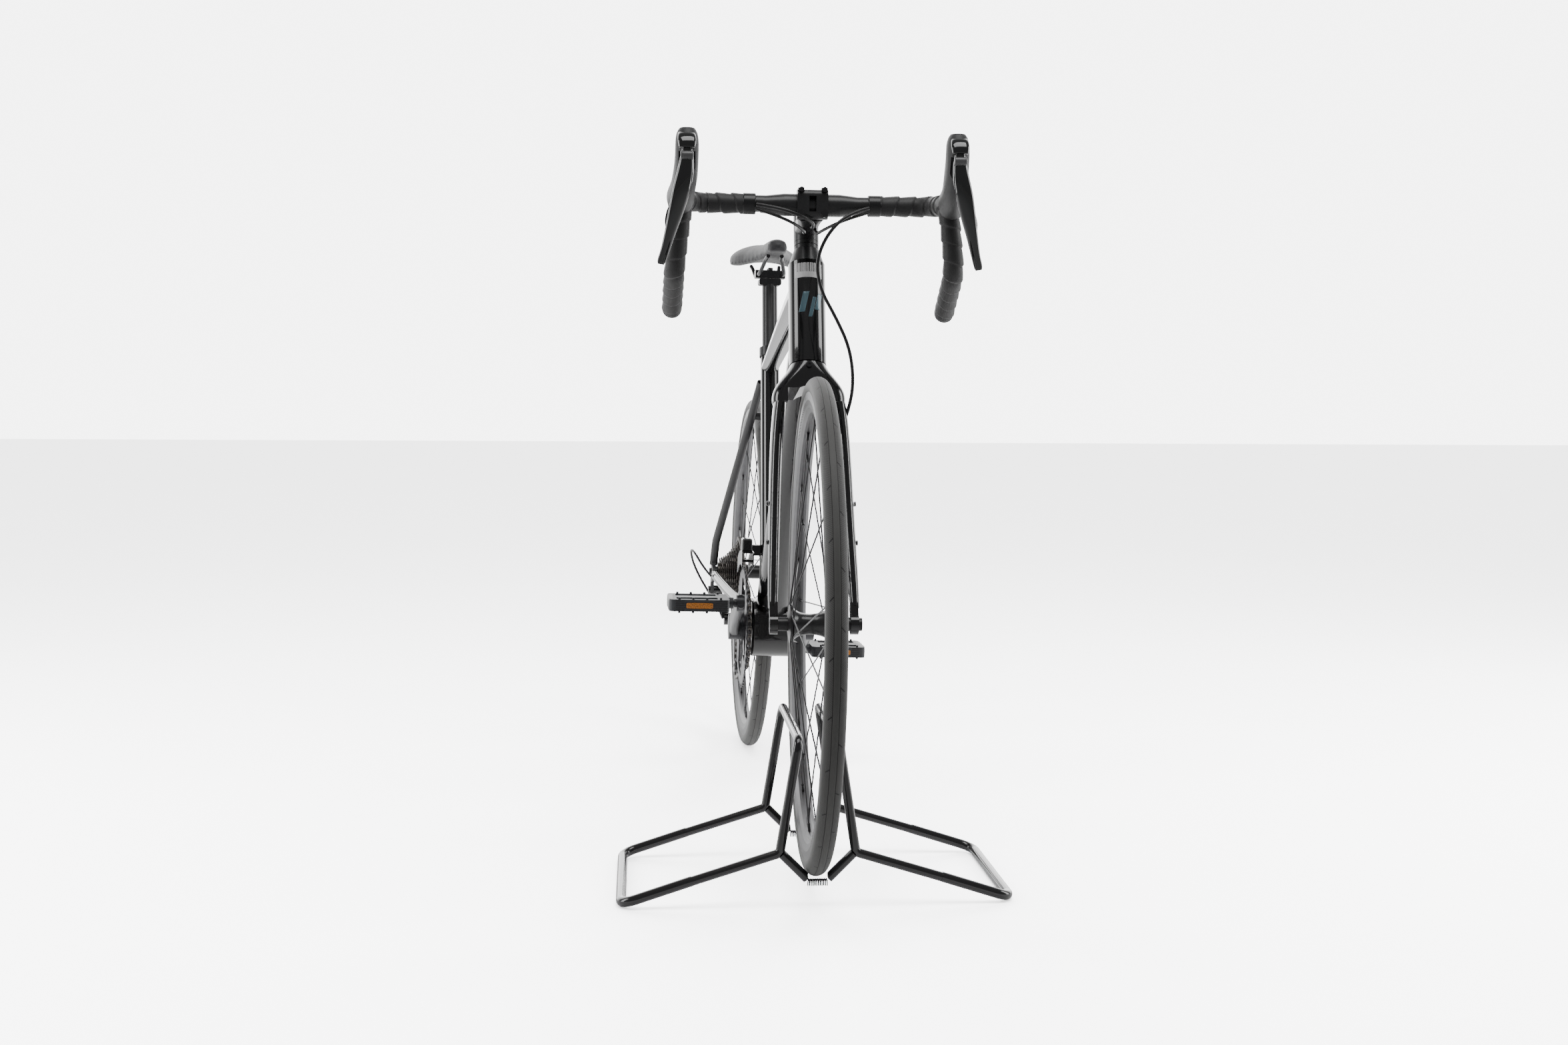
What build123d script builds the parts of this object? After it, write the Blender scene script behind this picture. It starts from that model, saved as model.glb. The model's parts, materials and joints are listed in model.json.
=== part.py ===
from build123d import *
import os
from math import acos, asin, atan2, cos, degrees, pi, radians, sin, sqrt, tan

# Road bicycle held by its front wheel in a spring stand. Millimetres, +Z up,
# +X is the bicycle's left side and the bicycle faces -Y.

# ------------------------------------------------------------ driving dimensions
WHEEL_RADIUS = 338.0
TYRE_RADIUS = 14.25
WHEELBASE = 1001.0
FRONT_LIFT = 25.0
REAR_AXLE_Z = WHEEL_RADIUS
FRONT_AXLE_Z = WHEEL_RADIUS + FRONT_LIFT
HEAD_ANGLE = 70.5
SEAT_ANGLE = 72.0
STEER_TURN = -2.6
# the front wheel is held upright in the stand while it is turned, so the bicycle leans a little
LEAN = 1.3
SPOKES = 28

FORK_GAP = 100.0
REAR_GAP = 142.0
AXLE_RADIUS = 6.0
AXLE_CLEARANCE = 0.05

BB_Y = 592.0
BB_Z = 282.0
CRANK_LENGTH = 172.5
CRANK_ANGLE = 20.0
CHAIN_PITCH = 12.7
RING_TEETH = (50, 34)
RING_X = (-49.5, -43.0)
COG_TEETH = (11, 12, 13, 14, 16, 18, 20, 22, 25, 28, 32)
COG_SPACING = 3.74
COG_BIG_X = -24.3
PULLEY_TEETH = 11
GUIDE_PULLEY = (1012.0, 243.0)
TENSION_PULLEY = (985.0, 155.0)

BAR_CLAMP_RADIUS = 15.9
BAR_RADIUS = 11.9
TAPE_RADIUS = 15.2
SEATPOST_RADIUS = 13.6

STAND_TUBE = 6.3
STAND_FOOT_TUBE = 6.8
STAND_FRONT_Y = -99.5
STAND_REAR_Y = 158.0

# middle of the whole object's outline, which becomes the origin
CENTRE_X = 3.9
CENTRE_Y = 500.67

os.makedirs("parts", exist_ok=True)

# ------------------------------------------------------------ helpers
HEAD_DIR = Vector(0, cos(radians(HEAD_ANGLE)), sin(radians(HEAD_ANGLE)))
HEAD_LOW = Vector(0, 174.0, 719.0)
HEAD_AXIS = Axis(HEAD_LOW, HEAD_DIR)
SEAT_DIR = Vector(0, cos(radians(SEAT_ANGLE)), sin(radians(SEAT_ANGLE)))


def rod(start, end, radius):
    """Round bar between two points."""
    a = Vector(*start)
    b = Vector(*end)
    plane = Plane(origin=a, z_dir=b - a)
    return extrude(plane * Circle(radius), amount=(b - a).length)


def tube(points, radii, radius, bore=0.0):
    """Round tube along straight runs joined by tangent bends."""
    if len(points) == 2:
        path = Line(*points)
    else:
        path = FilletPolyline(*points, radius=radii)
    plane = Plane(origin=path @ 0, z_dir=path % 0)
    body = sweep(plane * Circle(radius), path=path)
    if bore > 0:
        body = body - sweep(plane * Circle(bore), path=path)
    return body


def turn_x(profile, centre):
    """Turn a profile drawn as (x, radius) points about a line along X."""
    face = make_face(Polyline(*profile, close=True))
    solid = revolve(face, Axis.X)
    return solid.moved(Location((0, centre[0], centre[1])))


def ring_x(x0, x1, outer, inner, centre):
    """Plain ring about a line along X, between two stations."""
    x0, x1 = min(x0, x1), max(x0, x1)
    plane = Plane(origin=(x0, centre[0], centre[1]), x_dir=(0, 1, 0), z_dir=(1, 0, 0))
    face = plane * Circle(outer)
    if inner > 0:
        face = face - plane * Circle(inner)
    return extrude(face, amount=x1 - x0)


def oval(origin, normal, width, height, across=(1, 0, 0)):
    """Ellipse of full width across and full height, standing on a section plane."""
    plane = Plane(origin=origin, x_dir=across, z_dir=normal)
    return plane * Ellipse(width / 2, height / 2)


def oval_tube(stations, normal, wall=0.0, across=(1, 0, 0)):
    """Tapered oval tube through stations of (point, width, height)."""
    outer = loft([oval(p, normal, w, h, across) for p, w, h in stations])
    if wall <= 0:
        return outer
    inner = loft([oval(p, normal, w - 2 * wall, h - 2 * wall, across) for p, w, h in stations])
    return outer - inner


def rounded_loft(stations):
    """Loft through rounded rectangles of (origin, normal, across, width, height, corner)."""
    faces = []
    for origin, normal, across, width, height, corner in stations:
        plane = Plane(origin=origin, x_dir=across, z_dir=normal)
        faces.append(plane * RectangleRounded(width, height, corner))
    return loft(faces)


def head_point(s, x=0.0, back=0.0):
    """Point a distance s up the steering line, x to the left and back behind it."""
    behind = Vector(0, sin(radians(HEAD_ANGLE)), -cos(radians(HEAD_ANGLE)))
    return HEAD_LOW + HEAD_DIR * s + Vector(x, 0, 0) + behind * back


def seat_point(z, x=0.0):
    """Point on the seat tube's centre line at a height."""
    return Vector(x, BB_Y + (z - BB_Z) / tan(radians(SEAT_ANGLE)), z)


def head_rod(s0, s1, radius):
    """Round bar on the steering line."""
    return rod(tuple(head_point(s0)), tuple(head_point(s1)), radius)


def solids_of(*shapes):
    """Flat list of the solids in shapes."""
    found = []
    for shape in shapes:
        if isinstance(shape, (list, tuple)):
            found.extend(solids_of(*shape))
        else:
            found.extend(shape.solids())
    return found


def mirrored(shape):
    """The same shape on the other side of the bicycle."""
    return shape.mirror(Plane.YZ)


STEERED = set()
STAND = set()
NODES = {}


def node(name, *shapes, group="frame"):
    """Keep a named piece; steered pieces and stand pieces are turned when written."""
    NODES[name] = solids_of(*shapes)
    if group == "steered":
        STEERED.add(name)
    if group == "stand":
        STAND.add(name)


FRONT = (0.0, FRONT_AXLE_Z)
REAR = (WHEELBASE, REAR_AXLE_Z)

# ------------------------------------------------------------ wheels
TYRE_CENTRE = WHEEL_RADIUS - TYRE_RADIUS
RIM_OUTER = 317.6
RIM_INNER = 288.0
RIM_HALF = 12.2


def tyre(centre):
    """Tyre carcass, open towards the rim, with its beads between the rim walls."""
    plane = Plane.XY
    face = plane * Pos(0, TYRE_CENTRE) * Circle(TYRE_RADIUS)
    face = face - plane * Pos(0, TYRE_CENTRE) * Circle(TYRE_RADIUS - 3.0)
    face = face - plane * Pos(0, 303.0) * Rectangle(60, 20)
    for side in (-1, 1):
        face = face - plane * Pos(side * 19.7, RIM_OUTER - 10.0 + 0.1) * Rectangle(20, 20)
    solid = revolve(face, Axis.X)
    return solid.moved(Location((0, centre[0], centre[1])))


def rim(centre):
    """Deep rim with a bead channel for the tyre."""
    profile = [
        (-RIM_HALF, RIM_OUTER),
        (-9.75, RIM_OUTER),
        (-9.75, 312.9),
        (-4.0, 312.9),
        (-4.0, 307.0),
        (4.0, 307.0),
        (4.0, 312.9),
        (9.75, 312.9),
        (9.75, RIM_OUTER),
        (RIM_HALF, RIM_OUTER),
        (RIM_HALF + 0.3, 306.0),
        (RIM_HALF - 1.7, 296.0),
        (7.0, 289.5),
        (3.5, RIM_INNER),
        (-3.5, RIM_INNER),
        (-7.0, 289.5),
        (-RIM_HALF + 1.7, 296.0),
        (-RIM_HALF - 0.3, 306.0),
    ]
    chamber = [(-9.6, 304.5), (9.6, 304.5), (8.2, 297.0), (5.0, 292.6), (-5.0, 292.6), (-8.2, 297.0)]
    return turn_x(profile, centre) - turn_x(chamber, centre)


def one_spoke(start, end):
    """Spoke with its thicker nipple at the rim end."""
    a = Vector(*start)
    b = Vector(*end)
    length = (b - a).length
    profile = [(0, 0), (1.0, 0), (1.0, length - 14), (2.1, length - 14), (2.1, length), (0, length)]
    face = make_face(Polyline(*profile, close=True))
    solid = revolve(face, Axis.Y)
    plane = Plane(origin=a, z_dir=b - a)
    turned = solid.rotate(Axis.X, 90)
    return plane.location * turned


def spokes(centre, flange_left, flange_right, flange_radius):
    """Crossed spokes from both hub flanges to the rim."""
    found = []
    step = 360.0 / SPOKES
    for i in range(SPOKES):
        side = 1 if i % 2 == 0 else -1
        flange = flange_left if side > 0 else -flange_right
        lead = 1 if (i // 2) % 2 == 0 else -1
        outer = radians(step * i)
        inner = outer + lead * radians(62.0)
        offset = 1.4 * lead
        start = (flange + offset, flange_radius * cos(inner), flange_radius * sin(inner))
        end = (side * 1.5, (RIM_INNER + 2.5) * cos(outer), (RIM_INNER + 2.5) * sin(outer))
        found.append(one_spoke(start, end).moved(Location((0, centre[0], centre[1]))))
    return found


def hub(centre, half_gap, flange_left, flange_right, barrel, flange_radius, right_end):
    """Turned hub shell with two spoke flanges, hollow over its axle."""
    bore = AXLE_RADIUS + AXLE_CLEARANCE
    end = half_gap - 0.3
    rotor_seat = flange_left + 7.0
    profile = [
        (-right_end, bore),
        (-right_end, 9.5),
        (-flange_right - 4.0, 9.5),
        (-flange_right - 4.0, barrel + 1.0),
        (-flange_right - 1.6, flange_radius + 3.5),
        (-flange_right + 1.6, flange_radius + 3.5),
        (-flange_right + 3.5, barrel + 3.0),
        (-flange_right + 12.0, barrel),
        (flange_left - 10.0, barrel),
        (flange_left - 3.5, barrel + 3.0),
        (flange_left - 1.6, flange_radius + 3.5),
        (flange_left + 1.6, flange_radius + 3.5),
        (flange_left + 4.0, barrel + 1.0),
        (rotor_seat, barrel + 1.0),
        (rotor_seat, 9.5),
        (end, 9.5),
        (end, bore),
    ]
    return turn_x(profile, centre)


def rotor(centre, x, inner):
    """Brake disc: ring, six swept arms and a centre carrier."""
    plane = Plane(origin=(x, centre[0], centre[1]), x_dir=(0, 1, 0), z_dir=(1, 0, 0))
    face = plane * Circle(80) - plane * Circle(65)
    carrier = plane * Circle(24)
    for k in range(6):
        arm = plane * Rot(0, 0, 60 * k) * Pos(45, 7) * Rot(0, 0, 18) * Rectangle(50, 6.5)
        carrier = carrier + arm
    disc = face + carrier
    disc = disc - plane * Circle(inner)
    holes = [plane * Rot(0, 0, 15 * k) * Pos(70.0 + 4.0 * (k % 2), 0) * Circle(2.6) for k in range(24)]
    disc = disc - holes
    return extrude(disc, amount=1.8)


FRONT_FLANGE_LEFT = 22.0
FRONT_FLANGE_RIGHT = 32.0
REAR_FLANGE_LEFT = 33.0
REAR_FLANGE_RIGHT = 17.0
HUB_BARREL = 13.5
HUB_FLANGE = 23.0

front_spokes = spokes(FRONT, FRONT_FLANGE_LEFT, FRONT_FLANGE_RIGHT, HUB_FLANGE)
node("front_tyre", tyre(FRONT), group="steered")
node("front_rim", rim(FRONT) - front_spokes, group="steered")
node("front_spokes", front_spokes, group="steered")
front_hub = hub(FRONT, 50.0, FRONT_FLANGE_LEFT, FRONT_FLANGE_RIGHT, HUB_BARREL, HUB_FLANGE, 49.7)
node("front_rotor", rotor(FRONT, 33.6, 9.6), group="steered")
rear_spokes = spokes(REAR, REAR_FLANGE_LEFT, REAR_FLANGE_RIGHT, HUB_FLANGE)
node("rear_tyre", tyre(REAR))
node("rear_rim", rim(REAR) - rear_spokes)
node("rear_spokes", rear_spokes)
rear_hub = hub(REAR, 71.0, REAR_FLANGE_LEFT, REAR_FLANGE_RIGHT, HUB_BARREL, HUB_FLANGE, 70.7)
node("rear_rotor", rotor(REAR, 54.0, 9.6))


node("front_hub", front_hub - front_spokes, group="steered")

# ------------------------------------------------------------ fork and front axle
front_axle = rod((-60, 0, FRONT_AXLE_Z), (60, 0, FRONT_AXLE_Z), AXLE_RADIUS)
front_axle = front_axle + rod((60, 0, FRONT_AXLE_Z), (61.05, 0, FRONT_AXLE_Z), AXLE_RADIUS)
front_axle = front_axle + rod((61.05, 0, FRONT_AXLE_Z), (66, 0, FRONT_AXLE_Z), 9.0)
front_axle = front_axle - rod((40, 0, FRONT_AXLE_Z), (67, 0, FRONT_AXLE_Z), 3.0)
node("front_axle", front_axle, group="steered")

WHEEL_ROOM = ring_x(-31.0, 31.0, 352.0, 0, FRONT)
across = (1, 0, 0)
crown = rounded_loft([
    (tuple(head_point(-1.0)), tuple(HEAD_DIR), across, 53.0, 53.0, 25.0),
    (tuple(head_point(-14.0, back=-2)), tuple(HEAD_DIR), across, 66.0, 50.0, 23.0),
    (tuple(head_point(-34.0, back=-4)), tuple(HEAD_DIR), across, 94.0, 44.0, 20.0),
    (tuple(head_point(-62.0, back=-6)), tuple(HEAD_DIR), across, 104.0, 38.0, 17.0),
])
crown = crown - WHEEL_ROOM
arch = rod(tuple(head_point(-70, back=-60)), tuple(head_point(-70, back=60)), 31.0)
crown = crown - arch
steerer = head_rod(-1.5, 234.0, 14.3)
node("fork_crown", crown + steerer, group="steered")

BLADE_STATIONS = [
    ((43.0, 130.6, 662.8), 18.5, 37.0),
    ((49.0, 104.0, 590.0), 18.0, 33.0),
    ((52.5, 66.0, 500.0), 16.5, 27.0),
    ((55.0, 30.0, 430.0), 15.0, 22.0),
    ((56.5, 9.0, 385.0), 13.0, 20.0),
]


def fork_blade():
    """One tapered blade with the axle boss at its foot."""
    faces = []
    for k, (point, width, depth) in enumerate(BLADE_STATIONS):
        before = BLADE_STATIONS[max(0, k - 1)][0]
        after = BLADE_STATIONS[min(len(BLADE_STATIONS) - 1, k + 1)][0]
        direction = Vector(*before) - Vector(*after)
        if k == 0:
            direction = HEAD_DIR
        faces.append(oval(point, direction, width, depth))
    body = loft(faces)
    foot = rod((50.0, 0, FRONT_AXLE_Z), (61.0, 0, FRONT_AXLE_Z), 14.0)
    neck = Box(11.0, 17.0, 30.0).rotate(Axis.X, -24).moved(Location((55.5, 4.5, 376.0)))
    body = body + foot + neck
    return body - rod((45, 0, FRONT_AXLE_Z), (64, 0, FRONT_AXLE_Z), AXLE_RADIUS + 0.02)


left_blade = fork_blade()


def boss(point, outward, radius=3.5, height=2.5):
    """Low round screw head standing on a surface."""
    start = Vector(*point)
    way = Vector(*outward).normalized()
    head = rod(tuple(start), tuple(start + way * height), radius)
    socket = rod(tuple(start + way * (height - 1.5)), tuple(start + way * (height + 1)), radius * 0.45)
    return head - socket


fork_bolts = []
for side in (-1, 1):
    fork_bolts.append(boss((side * 60.6, 76.0, 524.0), (side, 0, 0)))
    fork_bolts.append(boss((side * 61.6, 51.5, 471.0), (side, 0, 0)))
crown_front = head_point(-8.0, back=-27.6)
behind = Vector(0, sin(radians(HEAD_ANGLE)), -cos(radians(HEAD_ANGLE)))
fork_bolts.append(boss(tuple(crown_front), tuple(behind * -1), 4.0, 3.0))
node("fork_bolts", fork_bolts, group="steered")


def caliper(centre, x, angle, foot_y):
    """Two-piece brake caliper body astride the disc."""
    body = Box(28.0, 30.0, 56.0)
    body = fillet(body.edges(), 5.0)
    body = body.rotate(Axis.X, angle)
    return body.moved(Location((x, centre[0], centre[1])))


front_caliper = caliper((63.0, 419.0), 35.0, -20.0, 0)
front_caliper = front_caliper - ring_x(32.6, 36.4, 82.0, 0, FRONT)
front_caliper = front_caliper - left_blade
node("front_caliper", front_caliper, group="steered")

# ------------------------------------------------------------ head tube, steering bearings, stem
head_tube = head_rod(0.5, 158.5, 27.2) - head_rod(-1, 160, 24.0)
top_cone = rounded_loft([
    (tuple(head_point(159.0)), tuple(HEAD_DIR), across, 53.0, 53.0, 26.0),
    (tuple(head_point(182.0)), tuple(HEAD_DIR), across, 38.0, 38.0, 18.6),
])
spacer = head_rod(182.3, 188.0, 18.4) + head_rod(188.0, 189.0, 17.4) + head_rod(189.0, 195.0, 18.4)
headset = (top_cone + spacer) - head_rod(150, 200, 14.4)
node("headset", headset, group="steered")

BAR_CENTRE = Vector(0, 145.0, 948.0)
STEM_LOW = 195.3
STEM_HIGH = 238.0
stem_column = head_rod(STEM_LOW, STEM_HIGH, 18.6)
stem_mid = head_point(219.0)
stem_body = rounded_loft([
    (tuple(stem_mid + Vector(0, 4, 0)), (0, -1, 0.22), across, 36.0, 34.0, 12.0),
    (tuple(stem_mid + Vector(0, -50, 11)), (0, -1, 0.22), across, 34.0, 33.0, 11.0),
    (tuple(BAR_CENTRE + Vector(0, 12, -1)), (0, -1, 0.1), across, 44.0, 40.0, 9.0),
])
stem = stem_column + stem_body
stem = stem - head_rod(190, 234.5, 14.35) - head_rod(180, STEM_LOW, 40.0)
stem = stem - rod((-40, 145, 948), (40, 145, 948), BAR_CLAMP_RADIUS + 0.02)
stem = stem - Pos(0, 145.0 - 29.0, 948.0) * Box(80, 60, 60)

faceplate = Pos(0, 145.0 - 11.5, 948.0) * Box(44.0, 21.0, 41.0)
faceplate = fillet(faceplate.edges().filter_by(Axis.X).group_by(Axis.Y)[0], 9.0)
faceplate = faceplate - rod((-40, 145, 948), (40, 145, 948), BAR_CLAMP_RADIUS + 0.02)
faceplate = faceplate - Pos(0, 145.0 - 18.0, 948.0) * Box(10.0, 12.0, 22.0)
ears = []
for side in (-1, 1):
    ears.append(Pos(side * 16.5, 145.0 - 12.0, 967.5) * Box(8.5, 19.0, 6.0))
for one in ears:
    faceplate = faceplate + one
node("stem_faceplate", faceplate, group="steered")

stem_bolts = []
for side in (-1, 1):
    stem_bolts.append(rod((side * 16.5, 121.9, 967.5), (side * 16.5, 118.0, 967.5), 3.6))
    stem_bolts.append(rod((side * 16.5, 122.9, 933.0), (side * 16.5, 119.0, 933.0), 4.6))
top_cap = head_rod(STEM_HIGH + 0.1, STEM_HIGH + 4.0, 17.5)
node("stem_hardware", stem_bolts, top_cap, group="steered")

# ------------------------------------------------------------ handlebar, tape, lever bodies
HALF_BAR = [
    (0.0, 145.0, 948.0),
    (178.0, 145.0, 949.0),
    (184.0, 64.0, 945.0),
    (195.0, 66.0, 852.0),
    (198.5, 176.0, 798.0),
]
HALF_BAR_BENDS = [34.0, 34.0, 46.0]
FULL_BAR = [(-x, y, z) for x, y, z in reversed(HALF_BAR[1:])] + HALF_BAR[1:]
bar_bends = [46.0, 34.0, 34.0, 34.0, 34.0, 46.0]
bar = tube(FULL_BAR, bar_bends, BAR_RADIUS, BAR_RADIUS - 1.8)
bulge_profile = [
    (-74, BAR_RADIUS - 1.0),
    (-74, BAR_RADIUS),
    (-40, BAR_CLAMP_RADIUS),
    (40, BAR_CLAMP_RADIUS),
    (74, BAR_RADIUS),
    (74, BAR_RADIUS - 1.0),
]
bulge = turn_x(bulge_profile, (145.0, 949.0)).moved(Location((0, 0, -1.0)))
bar = bar + bulge
node("handlebar", bar, group="steered")


def half_tape():
    """Wrapped tape from the flats to the end plug on the left."""
    path = FilletPolyline(*HALF_BAR, radius=HALF_BAR_BENDS)
    plane = Plane(origin=path @ 0, z_dir=path % 0)
    outer = sweep(plane * Circle(TAPE_RADIUS), path=path)
    inner = sweep(plane * Circle(BAR_RADIUS + 0.0), path=path)
    body = outer - inner
    body = body - Pos(0, 145, 948) * Box(160, 60, 60)
    return body


left_tape = half_tape()
end_dir = (Vector(*HALF_BAR[-1]) - Vector(*HALF_BAR[-2])).normalized()
end_point = Vector(*HALF_BAR[-1])
plug = rod(tuple(end_point + end_dir * 0.05), tuple(end_point + end_dir * 4.0), 13.8)
plug = plug + rod(tuple(end_point + end_dir * 4.0), tuple(end_point + end_dir * 5.6), 11.5)

HOOD_STATIONS = [
    ((188.0, 58.0, 944.0), (0, -1, 0.05), 37.0, 50.0),
    ((186.0, 30.0, 950.0), (0, -1, 0.25), 35.0, 47.0),
    ((183.0, 0.0, 960.0), (0, -1, 0.45), 33.5, 47.0),
    ((181.0, -20.0, 974.0), (0, -1, 0.85), 32.5, 48.0),
    ((180.0, -32.0, 994.0), (0, -0.8, 1.2), 31.5, 44.0),
    ((180.0, -33.0, 1012.0), (0, -0.3, 1.3), 30.0, 36.0),
    ((180.0, -31.0, 1024.0), (0, 0, 1), 20.0, 22.0),
]
PIVOT = (180.0, -46.0, 984.0)


def lever_hood():
    """Lever body under its rubber cover, with a notch for the lever's pivot."""
    faces = []
    for point, normal, width, height in HOOD_STATIONS:
        faces.append(oval(point, normal, width, height))
    body = loft(faces)
    notch = rod((PIVOT[0] - 11, PIVOT[1], PIVOT[2]), (PIVOT[0] + 11, PIVOT[1], PIVOT[2]), 8.0)
    notch = notch + Pos(PIVOT[0], PIVOT[1] - 8, PIVOT[2] - 14) * Box(22, 30, 30)
    body = body - notch
    return body


left_hood = lever_hood() - left_tape
bar_room = tube(HALF_BAR, HALF_BAR_BENDS, BAR_RADIUS + 0.01)
left_hood = left_hood - bar_room
node("lever_hoods", left_hood, mirrored(left_hood), group="steered")
node("bar_tape", left_tape, mirrored(left_tape), plug, mirrored(plug), group="steered")

LEVER_STATIONS = [
    ((180.0, -50.5, 984.0), (0, 0, -1), 17.0, 12.0),
    ((181.5, -57.0, 965.0), (0.02, -0.15, -1), 17.0, 9.0),
    ((186.0, -59.5, 945.0), (0.12, -0.03, -1), 16.0, 8.0),
    ((192.0, -57.0, 920.0), (0.22, 0.12, -1), 14.5, 7.5),
    ((200.0, -49.0, 890.0), (0.28, 0.3, -1), 13.5, 7.0),
    ((207.5, -36.0, 865.0), (0.3, 0.5, -1), 12.5, 6.5),
    ((212.0, -24.0, 850.0), (0.3, 0.6, -1), 9.0, 5.0),
]


def brake_lever():
    """Curved lever blade hanging from its pivot barrel."""
    faces = []
    for point, normal, width, depth in LEVER_STATIONS:
        faces.append(oval(point, normal, width, depth))
    body = loft(faces)
    barrel = rod((PIVOT[0] - 9, PIVOT[1], PIVOT[2]), (PIVOT[0] + 9, PIVOT[1], PIVOT[2]), 7.2)
    return body + barrel


left_lever = brake_lever() - lever_hood()
left_lever = max(left_lever.solids(), key=lambda s: s.volume)
node("brake_lever_left", left_lever, group="steered")
node("brake_lever_right", mirrored(left_lever), group="steered")

PADDLE_STATIONS = [
    ((187.0, -41.0, 941.0), (0.2, 0.0, -1), 12.0, 4.0),
    ((191.5, -40.5, 927.0), (0.3, 0.05, -1), 17.0, 4.0),
    ((198.0, -37.0, 908.0), (0.3, 0.12, -1), 19.0, 4.0),
    ((202.0, -34.0, 893.0), (0.3, 0.15, -1), 12.0, 3.0),
]


def shift_paddle():
    """Small shift lever tucked behind the brake lever."""
    faces = []
    for point, normal, width, depth in PADDLE_STATIONS:
        faces.append(oval(point, normal, width, depth))
    return loft(faces)


left_paddle = shift_paddle()
node("shift_paddle_left", left_paddle, group="steered")
node("shift_paddle_right", mirrored(left_paddle), group="steered")

# ------------------------------------------------------------ hoses and cables at the bar
HOSE_RADIUS = 2.5
CORDS = {
    "front_brake_hose": [
        (80.0, 124.0, 943.0),
        (50.0, 108.0, 934.0),
        (20.0, 100.0, 905.0),
        (4.0, 103.0, 866.0),
        (11.0, 108.0, 826.0),
        (34.0, 114.0, 788.0),
        (55.0, 119.0, 746.0),
        (62.0, 121.0, 700.0),
        (57.0, 119.0, 662.0),
        (47.0, 116.0, 634.0),
    ],
    "rear_brake_hose": [
        (-80.0, 123.0, 945.0),
        (-52.0, 111.0, 940.0),
        (-22.0, 108.0, 931.0),
        (2.0, 128.0, 922.0),
        (3.0, 162.0, 916.0),
        (2.5, 200.0, 924.0),
    ],
    "rear_shift_cable": [
        (-80.0, 124.0, 939.0),
        (-54.0, 114.0, 930.0),
        (-27.0, 122.0, 920.0),
        (-9.0, 152.0, 912.0),
        (-8.0, 180.0, 911.0),
        (-7.0, 207.0, 922.0),
    ],
    "front_shift_cable": [
        (80.0, 125.0, 937.0),
        (54.0, 112.0, 928.0),
        (30.0, 124.0, 919.0),
        (14.0, 153.0, 912.0),
        (11.0, 180.0, 911.0),
        (10.0, 207.0, 922.0),
    ],
    "rear_cable_loop": [
        (-82.0, 952.0, 333.0),
        (-95.0, 980.0, 347.0),
        (-110.0, 1008.0, 372.0),
        (-117.0, 1043.0, 378.0),
        (-112.0, 1072.0, 352.0),
        (-96.0, 1078.0, 318.0),
        (-78.0, 1066.0, 290.0),
        (-66.0, 1052.0, 268.0),
    ],
}


def turn_angle(a, b, c):
    """Angle in radians by which the line a-b-c turns at b."""
    u = (Vector(*b) - Vector(*a)).normalized()
    v = (Vector(*c) - Vector(*b)).normalized()
    return acos(max(-1.0, min(1.0, u.dot(v))))


def cord(name, radius):
    """Hose along its control points; every bend takes as large a radius as fits."""
    points = CORDS[name]
    radii = []
    for a, b, c in zip(points, points[1:], points[2:]):
        run = min((Vector(*b) - Vector(*a)).length, (Vector(*c) - Vector(*b)).length)
        radii.append(0.45 * run / tan(turn_angle(a, b, c) / 2))
    path = FilletPolyline(*points, radius=radii)
    plane = Plane(origin=path @ 0, z_dir=path % 0)
    body = sweep(plane * Circle(radius), path=path)
    ratio = body.volume / (pi * radius * radius * path.length)
    print(name, "length", round(path.length, 1), "volume ratio", round(ratio, 4))
    print("   radii", [round(r, 1) for r in radii])
    return body


CABLE_RADIUS = 2.2
node("front_brake_hose", cord("front_brake_hose", HOSE_RADIUS), group="steered")
node("rear_brake_hose", cord("rear_brake_hose", HOSE_RADIUS), group="steered")
node("rear_shift_cable", cord("rear_shift_cable", CABLE_RADIUS), group="steered")
node("front_shift_cable", cord("front_shift_cable", CABLE_RADIUS), group="steered")
node("rear_cable_loop", cord("rear_cable_loop", CABLE_RADIUS))
port_room = rod((2.7, 192.0, 922.3), (2.5, 202.0, 924.4), HOSE_RADIUS + 1.0)
port_room = port_room + rod((3.0, 162.0, 916.0), (2.5, 200.1, 924.02), HOSE_RADIUS + 0.6)
port_room = port_room + rod((-8.0, 182.0, 911.8), (-7.0, 209.0, 922.8), CABLE_RADIUS + 0.6)
port_room = port_room + rod((11.0, 182.0, 911.8), (10.0, 209.0, 922.8), CABLE_RADIUS + 0.6)
stem = stem - port_room
stem = max(stem.solids(), key=lambda s: s.volume)
node("stem", stem, group="steered")
hose_hole = rod((60.0, 120.6, 680.0), (45.5, 115.5, 630.0), HOSE_RADIUS + 0.8)
hose_hole = hose_hole + rod((47.4, 116.2, 636.0), (46.6, 115.8, 632.0), HOSE_RADIUS + 1.2)
drilled_blade = left_blade - hose_hole
node("fork_blades", drilled_blade, mirrored(left_blade), group="steered")

# ------------------------------------------------------------ frame tubes
seat_dir = tuple(SEAT_DIR)
HEAD_SOLID = head_rod(0.5, 158.5, 27.2)
SEAT_SOLID = rod(tuple(seat_point(300.0)), tuple(seat_point(760.0)), 16.5)
SHELL_WIDTH = 76.0

shell = Pos(0, BB_Y - 2.0, BB_Z) * Box(SHELL_WIDTH, 104.0, 96.0)
shell = fillet(shell.edges().filter_by(Axis.X), 40.0)
shell = fillet(shell.edges(), 6.0)
SHELL_SOLID = shell
shell_room = Pos(0, BB_Y - 2.0, BB_Z) * Box(SHELL_WIDTH - 12.0, 96.0, 88.0)
shell_room = fillet(shell_room.edges().filter_by(Axis.X), 36.0)
shell = shell - shell_room - ring_x(-60, 60, 20.0, 0, (BB_Y, BB_Z))
node("bottom_bracket_shell", shell)

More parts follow.
